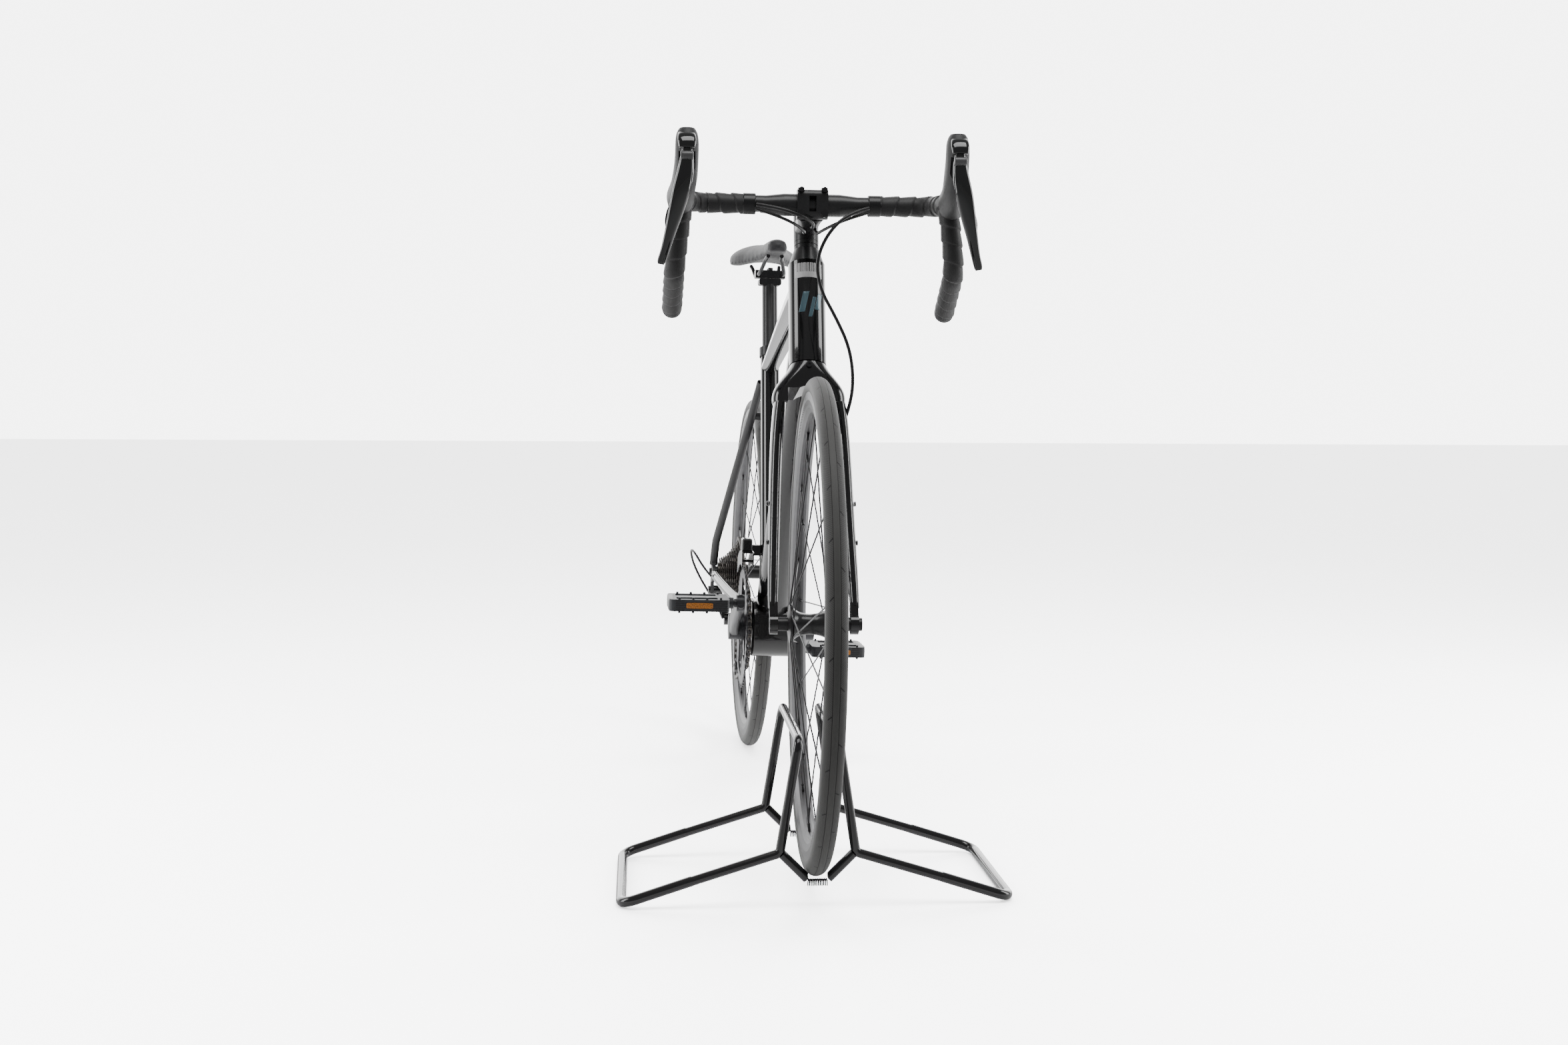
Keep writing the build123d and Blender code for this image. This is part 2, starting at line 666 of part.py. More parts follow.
top_start = Vector(0, 222.0, 838.0)
top_end = Vector(0, 742.0, 730.0)
top_way = top_end - top_start
top_tube = oval_tube([
    (tuple(top_start), 44.0, 42.0),
    (tuple(top_start + top_way * 0.35), 42.0, 36.0),
    (tuple(top_start + top_way * 0.7), 36.0, 29.0),
    (tuple(top_end), 31.0, 27.0),
], tuple(top_way), 2.5)
top_tube = top_tube - HEAD_SOLID - head_rod(0.5, 158.5, 23.5)
top_tube = top_tube - rod(tuple(seat_point(600.0)), tuple(seat_point(860.0)), 16.5)
top_tube = max(top_tube.solids(), key=lambda s: s.volume)

down_start = Vector(0, 194.0, 764.0)
down_end = Vector(0, 582.0, 296.0)
down_way = down_end - down_start
down_tube = oval_tube([
    (tuple(down_start), 48.0, 56.0),
    (tuple(down_start + down_way * 0.3), 52.0, 54.0),
    (tuple(down_start + down_way * 0.7), 56.0, 50.0),
    (tuple(down_end), 60.0, 46.0),
], tuple(down_way), 2.5)
down_tube = down_tube - HEAD_SOLID - SHELL_SOLID
down_tube = max(down_tube.solids(), key=lambda s: s.volume)
top_tube = top_tube - down_tube
top_tube = max(top_tube.solids(), key=lambda s: s.volume)
node("head_tube", head_tube)
node("top_tube", top_tube)

seat_tube = rod(tuple(seat_point(300.0)), tuple(seat_point(757.0)), 16.5)
seat_tube = seat_tube - rod(tuple(seat_point(290.0)), tuple(seat_point(780.0)), 13.65)
seat_tube = seat_tube - SHELL_SOLID - down_tube
seat_tube = max(seat_tube.solids(), key=lambda s: s.volume)

collar = rod(tuple(seat_point(749.0)), tuple(seat_point(764.5)), 19.0)
collar = collar - rod(tuple(seat_point(740.0)), tuple(seat_point(770.0)), 16.55)
collar_back = seat_point(756.0) + Vector(0, 19.0, -6.0)
collar = collar + Pos(*collar_back) * Box(22.0, 8.0, 12.0)
collar = collar - rod(tuple(seat_point(740.0)), tuple(seat_point(780.0)), 16.55)

CHAIN_STAY = [
    ((28.0, 628.0, 286.0), 17.0, 36.0),
    ((30.0, 676.0, 294.0), 16.5, 32.0),
    ((40.0, 735.0, 303.0), 17.0, 27.0),
    ((56.0, 830.0, 316.0), 17.0, 22.0),
    ((68.5, 915.0, 328.0), 15.0, 20.0),
    ((74.5, 968.0, 335.0), 10.0, 20.0),
]


def chain_stay():
    """Tapered stay from the bottom bracket to the rear dropout."""
    faces = []
    for k, (point, width, height) in enumerate(CHAIN_STAY):
        before = Vector(*CHAIN_STAY[max(0, k - 1)][0])
        after = Vector(*CHAIN_STAY[min(len(CHAIN_STAY) - 1, k + 1)][0])
        normal = (after - before).normalized()
        faces.append(oval(point, tuple(normal), width, height))
    body = loft(faces)
    return body - SHELL_SOLID


left_chain_stay = max(chain_stay().solids(), key=lambda s: s.volume)
left_chain_stay = left_chain_stay - seat_tube
left_chain_stay = max(left_chain_stay.solids(), key=lambda s: s.volume)


def dropout():
    """Rear dropout plate around the axle, reaching to both stays."""
    plane = Plane(origin=(71.0, 0, 0), x_dir=(0, 1, 0), z_dir=(1, 0, 0))
    outline = Polyline(
        (960, 324), (985, 318), (1012, 322), (1018, 338), (1010, 354),
        (1004, 372), (990, 374), (985, 352), (960, 346), close=True,
    )
    plate = extrude(plane * make_face(outline), amount=7.0)
    plate = fillet(plate.edges().filter_by(Axis.X), 4.0)
    return plate - ring_x(60, 90, AXLE_RADIUS + 0.02, 0, REAR)


left_dropout = dropout()
hanger_plane = Plane(origin=(-78.0, 0, 0), x_dir=(0, 1, 0), z_dir=(1, 0, 0))
hanger_line = Polyline((1000, 324), (1014, 330), (1024, 300), (1018, 290), (1008, 292), close=True)
hanger = extrude(hanger_plane * make_face(hanger_line), amount=6.0)
right_dropout = mirrored(left_dropout) + hanger
right_dropout = right_dropout - ring_x(-90, -60, 5.05, 0, (1015.0, 300.0))
rear_axle = ring_x(-82.0, 84.0, AXLE_RADIUS, 0, REAR)
rear_axle = rear_axle + ring_x(78.05, 84.0, 9.0, 0, REAR)
node("rear_dropouts", left_dropout, right_dropout, rear_axle)

left_chain_stay = left_chain_stay - left_dropout
right_chain_stay = mirrored(left_chain_stay)

STAY_TOP = (13.0, 757.0, 704.0)
STAY_BEND = (72.0, 978.0, 398.0)
STAY_FOOT = (74.5, 996.0, 352.0)
stay = tube([STAY_TOP, STAY_BEND, STAY_FOOT], [60.0], 7.6, 5.8)
stay = stay - SEAT_SOLID - left_dropout
left_seat_stay = max(stay.solids(), key=lambda s: s.volume)
bridge = rod((-23.0, 803.0, 643.0), (23.0, 803.0, 643.0), 7.0)
bridge = bridge - left_seat_stay - mirrored(left_seat_stay)
inner_stay = tube([STAY_TOP, STAY_BEND, STAY_FOOT], [60.0], 7.0)
bridge = bridge - inner_stay - mirrored(inner_stay)
bridge = max(bridge.solids(), key=lambda s: s.volume)
cut_plane = Pos(-25, 740, 700) * Box(50, 100, 200)
left_seat_stay = left_seat_stay - cut_plane
left_seat_stay = max(left_seat_stay.solids(), key=lambda s: s.volume)
node("seat_stays", left_seat_stay, mirrored(left_seat_stay), bridge)
node("chain_stays", left_chain_stay, right_chain_stay)

rear_caliper = caliper((938.0, 372.0), 54.9, 64.0, 0)
rear_caliper = rear_caliper - ring_x(52.9, 56.9, 82.0, 0, REAR)
rear_caliper = rear_caliper - left_chain_stay
rear_caliper = max(rear_caliper.solids(), key=lambda s: s.volume)
node("rear_caliper", rear_caliper)

down_unit = down_way.normalized()
down_up = Vector(0, down_unit.Z * -1, down_unit.Y)
frame_hardware = [collar]
for s in (0.5, 0.63):
    base = down_start + down_way * s + down_up * 25.4
    frame_hardware.append(boss(tuple(base), tuple(down_up), 4.5, 3.0))
seat_front = Vector(0, -SEAT_DIR.Z, SEAT_DIR.Y)
for z in (425.0, 489.0):
    base = seat_point(z) + seat_front * 16.6
    frame_hardware.append(boss(tuple(base), tuple(seat_front), 4.5, 3.0))
fd_clamp = rod(tuple(seat_point(404.0)), tuple(seat_point(418.0)), 19.5)
fd_clamp = fd_clamp - rod(tuple(seat_point(390.0)), tuple(seat_point(440.0)), 16.55)
fd_arm = Pos(-25.5, seat_point(411.0).Y - 2.0, 411.0) * Box(14.0, 16.0, 18.0)
fd_bracket = (fd_clamp + fd_arm) - rod(tuple(seat_point(390.0)), tuple(seat_point(440.0)), 16.55)
FD_PIVOT = (-33.0, seat_point(411.0).Y - 2.0, 411.0)
frame_hardware.append(fd_bracket)
node("frame_hardware", frame_hardware)
node("down_tube", down_tube - frame_hardware[1:3])
node("seat_tube", seat_tube - frame_hardware[3:5])

# ------------------------------------------------------------ front derailleur
fd_y = FD_PIVOT[1]
fd_body = Pos(-42.6, fd_y - 4.0, 420.0) * Box(18.0, 30.0, 24.0)
fd_body = fillet(fd_body.edges(), 4.0)


def fd_plate(x, low_z):
    """One side plate of the front derailleur cage, following the big ring's curve."""
    plane = Plane(origin=(x, 0, 0), x_dir=(0, 1, 0), z_dir=(1, 0, 0))
    centre = plane * Pos(BB_Y, BB_Z)
    outer = centre * Circle(131.0)
    inner = centre * Circle(107.5 if low_z else 92.0)
    window = plane * Pos(BB_Y + 22.0, BB_Z + 118.0) * Rectangle(92.0, 60.0)
    return extrude((outer - inner) & window, amount=1.8)


fd_cage = fd_plate(-55.0, True) + fd_plate(-36.4, True)
fd_cage = fd_cage + Pos(-44.8, fd_y - 18.0, 409.0) * Box(20.0, 24.0, 3.0)
fd_tail = Pos(-44.8, BB_Y + 63.0, BB_Z + 108.0) * Box(18.0, 5.0, 5.0)
fd_cage = fd_cage + fd_body + fd_tail
fd_cage = max(fd_cage.solids(), key=lambda s: s.volume)
node("front_derailleur", fd_cage)

# ------------------------------------------------------------ cranks and rings
ARM_X = 67.0
arm_way = Vector(0, -cos(radians(CRANK_ANGLE)), sin(radians(CRANK_ANGLE)))
BB = Vector(0, BB_Y, BB_Z)


def crank_arm(sign):
    """Hollow-forged arm from the axle to the pedal eye, on the side of its sign."""
    way = arm_way * (-sign)
    side = Vector(0, -way.Z, way.Y)
    faces = []
    stations = [
        (-6.0, 62.0, 19.0, 38.0),
        (30.0, 65.0, 16.0, 34.0),
        (90.0, 67.0, 13.5, 28.0),
        (150.0, 67.5, 12.5, 26.0),
        (CRANK_LENGTH + 12.0, 67.5, 11.0, 22.0),
    ]
    for s, x, width, height in stations:
        plane = Plane(origin=BB + way * s + Vector(sign * x, 0, 0), x_dir=(1, 0, 0), z_dir=way)
        faces.append(plane * RectangleRounded(width, height, 5.0))
    body = loft(faces)
    centre = BB + way * CRANK_LENGTH
    eye = ring_x(sign * 61.0, sign * 74.0, 13.5, 0, (centre.Y, centre.Z))
    body = body + eye
    knuckle = ring_x(sign * 50.0, sign * 73.0, 22.0, 0, (BB_Y, BB_Z))
    body = body + knuckle
    hole = ring_x(sign * 50.0, sign * 80.0, 7.05, 0, (centre.Y, centre.Z))
    return body - hole


SPIDER_BCD = 110.0
spider_plane = Plane(origin=(-48.2, BB_Y, BB_Z), x_dir=(0, 1, 0), z_dir=(1, 0, 0))
spider = spider_plane * Circle(24.0)
for angle in (40.0, 130.0, 220.0, 310.0):
    spider = spider + spider_plane * Rot(0, 0, angle + 20) * Pos(32, 0) * Rectangle(62, 17)
spider = extrude(spider, amount=3.6)
right_arm = crank_arm(-1)
spindle = ring_x(-52.0, 52.0, 12.0, 0, (BB_Y, BB_Z))
right_crank = right_arm + spider + spindle + ring_x(-52.0, -44.6, 24.0, 0, (BB_Y, BB_Z))
left_crank = crank_arm(1) - ring_x(-52.0, 52.05, 12.0, 0, (BB_Y, BB_Z))


def pitch_radius(teeth):
    """Radius of the roller centres round a sprocket."""
    return CHAIN_PITCH / (2 * sin(pi / teeth))


def sprocket(teeth, x, thickness, centre, inner, phase=0.0):
    """Toothed disc with a round centre opening."""
    plane = Plane(origin=(x - thickness / 2, centre[0], centre[1]), x_dir=(0, 1, 0), z_dir=(1, 0, 0))
    pitch = pitch_radius(teeth)
    tip = pitch + 3.6
    face = plane * Circle(tip) - plane * Circle(inner)
    cuts = []
    for k in range(teeth):
        cuts.append(plane * Rot(0, 0, phase + 360.0 * (k + 0.5) / teeth) * Pos(pitch + 0.6, 0) * Circle(4.5))
    face = face - cuts
    return extrude(face, amount=thickness)


big_ring = sprocket(RING_TEETH[0], RING_X[0], 2.4, (BB_Y, BB_Z), 84.0)
small_ring = sprocket(RING_TEETH[1], RING_X[1], 2.2, (BB_Y, BB_Z), 51.0)
big_arms = spider_plane * Circle(86.0) - spider_plane * Circle(57.0)
window_cut = [spider_plane * Rot(0, 0, 15 + 90 * k) * Pos(74, 0) * Rectangle(60, 66) for k in range(4)]
arm_shape = big_arms
for one in window_cut:
    arm_shape = arm_shape - one
ring_arms = extrude(arm_shape, amount=-2.4)
big_ring = big_ring + ring_arms
big_ring = big_ring - right_crank
small_ring = small_ring - right_crank
node("chainrings", big_ring, small_ring)

# ------------------------------------------------------------ pedals
RIGHT_PEDAL = BB + arm_way * CRANK_LENGTH
LEFT_PEDAL = BB - arm_way * CRANK_LENGTH


def pedal(sign, centre):
    """Platform pedal on its axle, with reflectors front and back and short grip studs."""
    x0 = 88.0
    x1 = 184.0
    middle = sign * (x0 + x1) / 2
    frame_body = Pos(middle, centre.Y, centre.Z) * Box(x1 - x0, 92.0, 19.0)
    frame_body = fillet(frame_body.edges().filter_by(Axis.Z), 8.0)
    for k in (-1, 1):
        gap = Pos(middle + sign * 3.0, centre.Y + k * 24.5, centre.Z) * Box(66.0, 23.0, 40.0)
        frame_body = frame_body - gap
    reflectors = []
    for k in (-1, 1):
        pocket = Pos(middle, centre.Y + k * 45.0, centre.Z) * Box(44.0, 4.0, 10.0)
        frame_body = frame_body - pocket
        reflectors.append(Pos(middle, centre.Y + k * 45.4, centre.Z) * Box(43.0, 3.0, 9.4))
    studs = []
    for k in (-1, 1):
        for m in (-1, 1):
            for u in (-32.0, -10.0, 12.0, 34.0):
                a = (middle + u, centre.Y + k * 40.0, centre.Z + m * 9.5)
                b = (middle + u, centre.Y + k * 40.0, centre.Z + m * 12.5)
                studs.append(rod(a, b, 2.0))
    for one in studs:
        frame_body = frame_body + one
    sleeve = ring_x(sign * 79.0, sign * 90.0, 9.0, 0, (centre.Y, centre.Z))
    frame_body = frame_body + sleeve
    bore = ring_x(sign * 70.0, sign * 170.0, 4.8, 0, (centre.Y, centre.Z))
    return frame_body - bore, reflectors


def pedal_axle(sign, centre):
    """Axle fixed in the crank eye that carries the pedal."""
    base = ring_x(sign * 61.0, sign * 78.0, 7.05, 0, (centre.Y, centre.Z))
    pin = ring_x(sign * 78.0, sign * 168.0, 4.75, 0, (centre.Y, centre.Z))
    return base + pin


right_crank = right_crank + pedal_axle(-1, RIGHT_PEDAL)
left_crank = left_crank + pedal_axle(1, LEFT_PEDAL)
node("crank_right", right_crank)
node("crank_left", left_crank)
right_pedal, right_reflectors = pedal(-1, RIGHT_PEDAL)
left_pedal, left_reflectors = pedal(1, LEFT_PEDAL)
node("pedal_right", right_pedal, right_reflectors)
node("pedal_left", left_pedal, left_reflectors)

# ------------------------------------------------------------ cassette and rear derailleur
cassette = ring_x(-66.0, -21.5, 16.5, 10.2, REAR)
for i, teeth in enumerate(COG_TEETH):
    x = COG_BIG_X - COG_SPACING * (len(COG_TEETH) - 1 - i)
    inner = 16.0
    cassette = cassette + sprocket(teeth, x, 1.8, REAR, inner)
lock_ring = ring_x(-66.0, -63.5, 17.5, 10.2, REAR)
cassette = cassette + lock_ring
node("cassette", cassette)
rear_hub = rear_hub - ring_x(-66.5, -21.0, 40.0, 9.9, REAR)
node("rear_hub", rear_hub - rear_spokes)

PX = COG_BIG_X


def pulley(centre):
    """Small toothed pulley turning on its bolt."""
    body = sprocket(PULLEY_TEETH, PX, 2.2, centre, 3.05)
    boss_ring = ring_x(PX - 2.6, PX + 2.6, 7.0, 3.05, centre)
    return body + boss_ring


node("guide_pulley", pulley(GUIDE_PULLEY))
node("tension_pulley", pulley(TENSION_PULLEY))


def cage_plate(x):
    """Long side plate joining both pulley bolts."""
    plane = Plane(origin=(x, 0, 0), x_dir=(0, 1, 0), z_dir=(1, 0, 0))
    gy, gz = GUIDE_PULLEY
    ty, tz = TENSION_PULLEY
    face = plane * Pos(gy, gz) * Circle(14.0) + plane * Pos(ty, tz) * Circle(14.0)
    angle = degrees(atan2(tz - gz, ty - gy))
    length = sqrt((gy - ty) ** 2 + (gz - tz) ** 2)
    bar_face = plane * Pos((gy + ty) / 2, (gz + tz) / 2) * Rot(0, 0, angle) * Rectangle(length, 16.0)
    return extrude(face + bar_face, amount=1.8)


rd_cage = cage_plate(PX - 6.4) + cage_plate(PX + 4.6)
for centre in (GUIDE_PULLEY, TENSION_PULLEY):
    rd_cage = rd_cage + ring_x(PX - 7.5, PX + 7.0, 3.0, 0, centre)
node("rear_derailleur_cage", rd_cage)

knuckle_b = ring_x(-71.6, -58.0, 9.0, 0, (1015.0, 300.0))
knuckle_b = knuckle_b + ring_x(-79.5, -71.6, 5.0, 0, (1015.0, 300.0))
knuckle_b = knuckle_b + ring_x(-82.0, -78.4, 7.5, 0, (1015.0, 300.0))
link = rounded_loft([
    ((-63.0, 1022.0, 296.0), (0.35, 0.3, -1), (1, 0, 0.35), 16.0, 24.0, 4.0),
    ((-56.0, 1028.0, 272.0), (0.35, 0.0, -1), (1, 0, 0.35), 17.0, 26.0, 4.0),
    ((-46.0, 1024.0, 246.0), (0.45, 0.0, -1), (1, 0, 0.45), 18.0, 26.0, 4.0),
])
knuckle_p = ring_x(-50.0, PX - 7.7, 12.0, 0, GUIDE_PULLEY)
rd_body = knuckle_b + link + knuckle_p
rd_body = rd_body - ring_x(PX - 7.7, 0, 40.0, 0, GUIDE_PULLEY)
rd_body = max(rd_body.solids(), key=lambda s: s.volume)
node("rear_derailleur_body", rd_body)

# ------------------------------------------------------------ chain
RING_C = (BB_Y, BB_Z, pitch_radius(RING_TEETH[1]), 1)
COG_C = (WHEELBASE, REAR_AXLE_Z, pitch_radius(COG_TEETH[-1]), 1)
GUIDE_C = (GUIDE_PULLEY[0], GUIDE_PULLEY[1], pitch_radius(PULLEY_TEETH), -1)
TENSION_C = (TENSION_PULLEY[0], TENSION_PULLEY[1], pitch_radius(PULLEY_TEETH), 1)


def tangent(first, second):
    """Straight run between two wheels, drawn with forwards as the first coordinate."""
    u1, z1, r1, s1 = -first[0], first[1], first[2], first[3]
    u2, z2, r2, s2 = -second[0], second[1], second[2], second[3]
    reach = sqrt((u2 - u1) ** 2 + (z2 - z1) ** 2)
    theta = atan2(z2 - z1, u2 - u1) + asin((s1 * r1 - s2 * r2) / reach)
    nu, nz = sin(theta), -cos(theta)
    start = (-(u1 + s1 * r1 * nu), z1 + s1 * r1 * nz)
    end = (-(u2 + s2 * r2 * nu), z2 + s2 * r2 * nz)
    return start, end


def free_of_teeth(radius):
    """Distance from the tangent point at which a roller has left the teeth."""
    return sqrt((radius + 8.4) ** 2 - radius ** 2)


LOOP = [RING_C, COG_C, GUIDE_C, TENSION_C]
LOOP_X = [RING_X[1], PX, PX, PX]
runs = []
for k in range(4):
    runs.append(tangent(LOOP[k], LOOP[(k + 1) % 4]))
chain_parts = []
PLATE_HEIGHT = 8.0
PLATE_THICK = 0.8
PLATE_OFF = 2.35
SQUARE_ON = 32.0


def sideways(t, length, first, last):
    """Place across the bicycle at a share t of a run: the chain leaves both wheels squarely."""
    share = (t * length - SQUARE_ON) / (length - 2 * SQUARE_ON)
    return first + (last - first) * min(max(share, 0.0), 1.0)


for k in range(4):
    (y0, z0), (y1, z1) = runs[k]
    x0 = LOOP_X[k]
    x1 = LOOP_X[(k + 1) % 4]
    for off in (-PLATE_OFF, PLATE_OFF):
        flat = sqrt((y1 - y0) ** 2 + (z1 - z0) ** 2)
        share = SQUARE_ON / flat if x0 != x1 else 0.5
        stops = []
        for t in (0.0, share, 1.0 - share, 1.0):
            x = x0 if t < 0.5 else x1
            stops.append(Vector(x + off, y0 + (y1 - y0) * t, z0 + (z1 - z0) * t))
        for a, b in zip(stops[:-1], stops[1:]):
            if (b - a).length < 0.01:
                continue
            plane = Plane(origin=a, x_dir=(1, 0, 0), z_dir=b - a)
            strip = extrude(plane * Rectangle(PLATE_THICK, PLATE_HEIGHT), amount=(b - a).length)
            chain_parts.append(strip)
    length = (Vector(x1, y1, z1) - Vector(x0, y0, z0)).length
    first = free_of_teeth(LOOP[k][2])
    last = length - free_of_teeth(LOOP[(k + 1) % 4][2])
    for m in range(200):
        t = (first + m * CHAIN_PITCH) / length
        if t * length > last:
            break
        px = sideways(t, length, x0, x1)
        py = y0 + (y1 - y0) * t
        pz = z0 + (z1 - z0) * t
        chain_parts.append(rod((px - 2.1, py, pz), (px + 2.1, py, pz), 3.8))
for k in range(4):
    y0, z0 = runs[k - 1][1]
    y1, z1 = runs[k][0]
    cy, cz, radius, sense = LOOP[k]
    a0 = atan2(z0 - cz, -(y0 - cy))
    a1 = atan2(z1 - cz, -(y1 - cy))
    sweep_angle = (a1 - a0) * sense
    while sweep_angle < 0:
        sweep_angle += 2 * pi
    middle = a0 + sense * sweep_angle / 2
    for off in (-PLATE_OFF, PLATE_OFF):
        plane = Plane(origin=(LOOP_X[k] + off - PLATE_THICK / 2, cy, cz), x_dir=(0, -1, 0), z_dir=(-1, 0, 0))
        band = plane * Circle(radius + PLATE_HEIGHT / 2) - plane * Circle(radius - PLATE_HEIGHT / 2)
        half = sweep_angle / 2
        far = 200.0
        steps = 8
        fan = [(0.0, 0.0)]
        for m in range(steps + 1):
            angle = middle - half + 2 * half * m / steps
            fan.append((far * cos(angle), far * sin(angle)))
        wedge = plane * make_face(Polyline(*fan, close=True))
        arc_band = extrude(band & wedge, amount=-PLATE_THICK)
        chain_parts.append(arc_band)
node("chain", chain_parts)

# ------------------------------------------------------------ seat post and saddle
CLAMP_POINT = seat_point(884.0)
post = rod(tuple(seat_point(600.0)), tuple(seat_point(878.0)), SEATPOST_RADIUS)
post = post - rod(tuple(seat_point(590.0)), tuple(seat_point(862.0)), SEATPOST_RADIUS - 2.2)
clamp_low = Pos(0, CLAMP_POINT.Y + 3.0, 885.5) * Box(40.0, 34.0, 12.0)
clamp_low = fillet(clamp_low.edges().filter_by(Axis.Y), 4.0)
RAIL_Z = 898.0
SADDLE_Y0 = 650.0
SADDLE_Y1 = 921.0
rail_points = [
    (12.0, 702.0, 925.0),
    (14.0, 722.0, 921.0),
    (21.75, 750.0, RAIL_Z),
    (21.75, 835.0, RAIL_Z),
    (24.0, 868.0, 914.0),
    (26.0, 885.0, 921.0),
]
rail = tube(rail_points, [16.0, 25.0, 40.0, 16.0], 3.5)
clamp_y = CLAMP_POINT.Y + 3.0
clamp_top = Pos(0, clamp_y, RAIL_Z + 1.4) * Box(54.0, 30.0, 14.0)
for side in (-1, 1):
    clamp_top = clamp_top - rod((side * 21.75, 740, RAIL_Z), (side * 21.75, 840, RAIL_Z), 3.55)
clamp_top = fillet(clamp_top.edges().filter_by(Axis.Z).group_by(Axis.Y)[-1], 5.0)
clamp_top = max(clamp_top.solids(), key=lambda s: s.volume)
clamp_bolts = []
for k in (-1, 1):
    bolt_y = clamp_y + k * 11.0
    clamp_bolts.append(rod((0, bolt_y, RAIL_Z + 8.5), (0, bolt_y, RAIL_Z + 13.0), 4.5))
node("seatpost", post + clamp_low, clamp_top, clamp_bolts)
node("saddle_rails", rail, mirrored(rail))

SADDLE_STATIONS = [
    (0.000, 16.0, 10.0, 936.0),
    (0.020, 30.0, 20.0, 936.5),
    (0.100, 36.0, 24.0, 937.5),
    (0.300, 42.0, 26.0, 938.0),
    (0.500, 58.0, 27.0, 939.0),
    (0.680, 88.0, 30.0, 941.0),
    (0.820, 118.0, 33.0, 942.5),
    (0.920, 130.0, 33.0, 944.0),
    (0.985, 124.0, 26.0, 947.0),
    (1.000, 108.0, 14.0, 950.0),
]


def saddle_section(t, width, height, z):
    """Domed section with a flatter underside."""
    y = SADDLE_Y0 + (SADDLE_Y1 - SADDLE_Y0) * t
    plane = Plane(origin=(0, y, z), x_dir=(-1, 0, 0), z_dir=(0, 1, 0))
    w = width / 2
    h = height / 2
    line = Spline(
        (w, -h * 0.55), (w * 0.93, h * 0.15), (w * 0.6, h * 0.82), (0, h),
        (-w * 0.6, h * 0.82), (-w * 0.93, h * 0.15), (-w, -h * 0.55),
    )
    under = Spline((-w, -h * 0.55), (-w * 0.7, -h * 0.9), (0, -h * 0.7), (w * 0.7, -h * 0.9), (w, -h * 0.55))
    return plane * make_face([line, under])


saddle = loft([saddle_section(*one) for one in SADDLE_STATIONS])
saddle = saddle - rail - mirrored(rail)
saddle = max(saddle.solids(), key=lambda s: s.volume)
node("saddle", saddle)

# ------------------------------------------------------------ stand
# the loops follow the wheel, so their tops sit a little to its left
STAND_TURN = -1.2
STAND_TOP_LEFT = 27.0
STAND_TOP_RIGHT = 26.0
STAND_SHIFT_X = 3.25
STAND_TOP_Z = 222.0
JUNCTION = (50.5, 71.8)
SLEEVE = (172.0, 34.5)
FOOT_X = 259.3


def stand_half(top_x):
    """One side of the stand: bent loop, foot loop and the two short cradle tubes."""
    f, r = STAND_FRONT_Y, STAND_REAR_Y
    loop_points = [
        (SLEEVE[0], f, SLEEVE[1]),
        (JUNCTION[0], f, JUNCTION[1]),
        (top_x, f, STAND_TOP_Z),
        (top_x, r, STAND_TOP_Z),
        (JUNCTION[0], r, JUNCTION[1]),
        (SLEEVE[0], r, SLEEVE[1]),
    ]
    loop = tube(loop_points, [9.0, 15.0, 15.0, 9.0], STAND_TUBE)
    foot_points = [
        (SLEEVE[0] - 6.0, f, SLEEVE[1] + 2.1),
        (FOOT_X, f, STAND_FOOT_TUBE + 0.0),
        (FOOT_X, r, STAND_FOOT_TUBE + 0.0),
        (SLEEVE[0] - 6.0, r, SLEEVE[1] + 2.1),
    ]
    foot = tube(foot_points, [20.0, 20.0], STAND_FOOT_TUBE)
    body = loop + foot
    for y in (f, r):
        cradle = rod((14.1, y, 37.2), (47.4, y, 70.5), STAND_TUBE)
        body = body + cradle
    return body


CRADLE_END = Pos(0, 0, 43) * Box(26.2, 400, 60)
node("stand_left", stand_half(STAND_TOP_LEFT) - CRADLE_END, group="stand")
node("stand_right", mirrored(stand_half(STAND_TOP_RIGHT) - CRADLE_END), group="stand")
springs = []
for y in (STAND_FRONT_Y, STAND_REAR_Y):
    pitch = 2.35
    turns = 11
    coil = Helix(pitch=pitch, height=pitch * turns, radius=4.3)
    wire = sweep(Plane(origin=coil @ 0, z_dir=coil % 0) * Circle(0.8), path=coil)
    wire = wire.rotate(Axis.Y, 90).moved(Location((-pitch * turns / 2, y, 32.2)))
    springs.append(wire)
node("stand_springs", springs, group="stand")

# ------------------------------------------------------------ write every piece
stand_axis = Axis((0, 0, 0), (0, 0, 1))
shift = Location((-CENTRE_X, -CENTRE_Y, 0))
low = [1e9, 1e9, 1e9]
high = [-1e9, -1e9, -1e9]
for name, pieces in NODES.items():
    turned = []
    for piece in pieces:
        if name in STEERED:
            piece = piece.rotate(HEAD_AXIS, STEER_TURN)
        if name not in STAND:
            piece = piece.rotate(Axis.Y, LEAN)
        if name in STAND:
            piece = piece.rotate(stand_axis, STAND_TURN).moved(Location((STAND_SHIFT_X, 0, 0)))
        turned.append(piece.moved(shift))
    shape = turned[0] if len(turned) == 1 else Compound(children=turned)
    box = shape.bounding_box()
    for axis, (a, b) in enumerate(zip(box.min, box.max)):
        low[axis] = min(low[axis], a)
        high[axis] = max(high[axis], b)
    export_step(shape, "parts/" + name + ".step")
    print(name, len(turned), round(sum(p.volume for p in pieces) / 1000, 1), "cm3")
print("nodes", len(NODES))
print("outline", [round(v, 2) for v in low], [round(v, 2) for v in high])
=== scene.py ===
"""Looks of a drop-bar road bicycle held by its front wheel in a sprung floor stand."""

from __future__ import annotations

import json
import logging
import math
from dataclasses import dataclass
from enum import Enum

import bmesh
import bpy
import numpy as np
from mathutils import Matrix, Vector

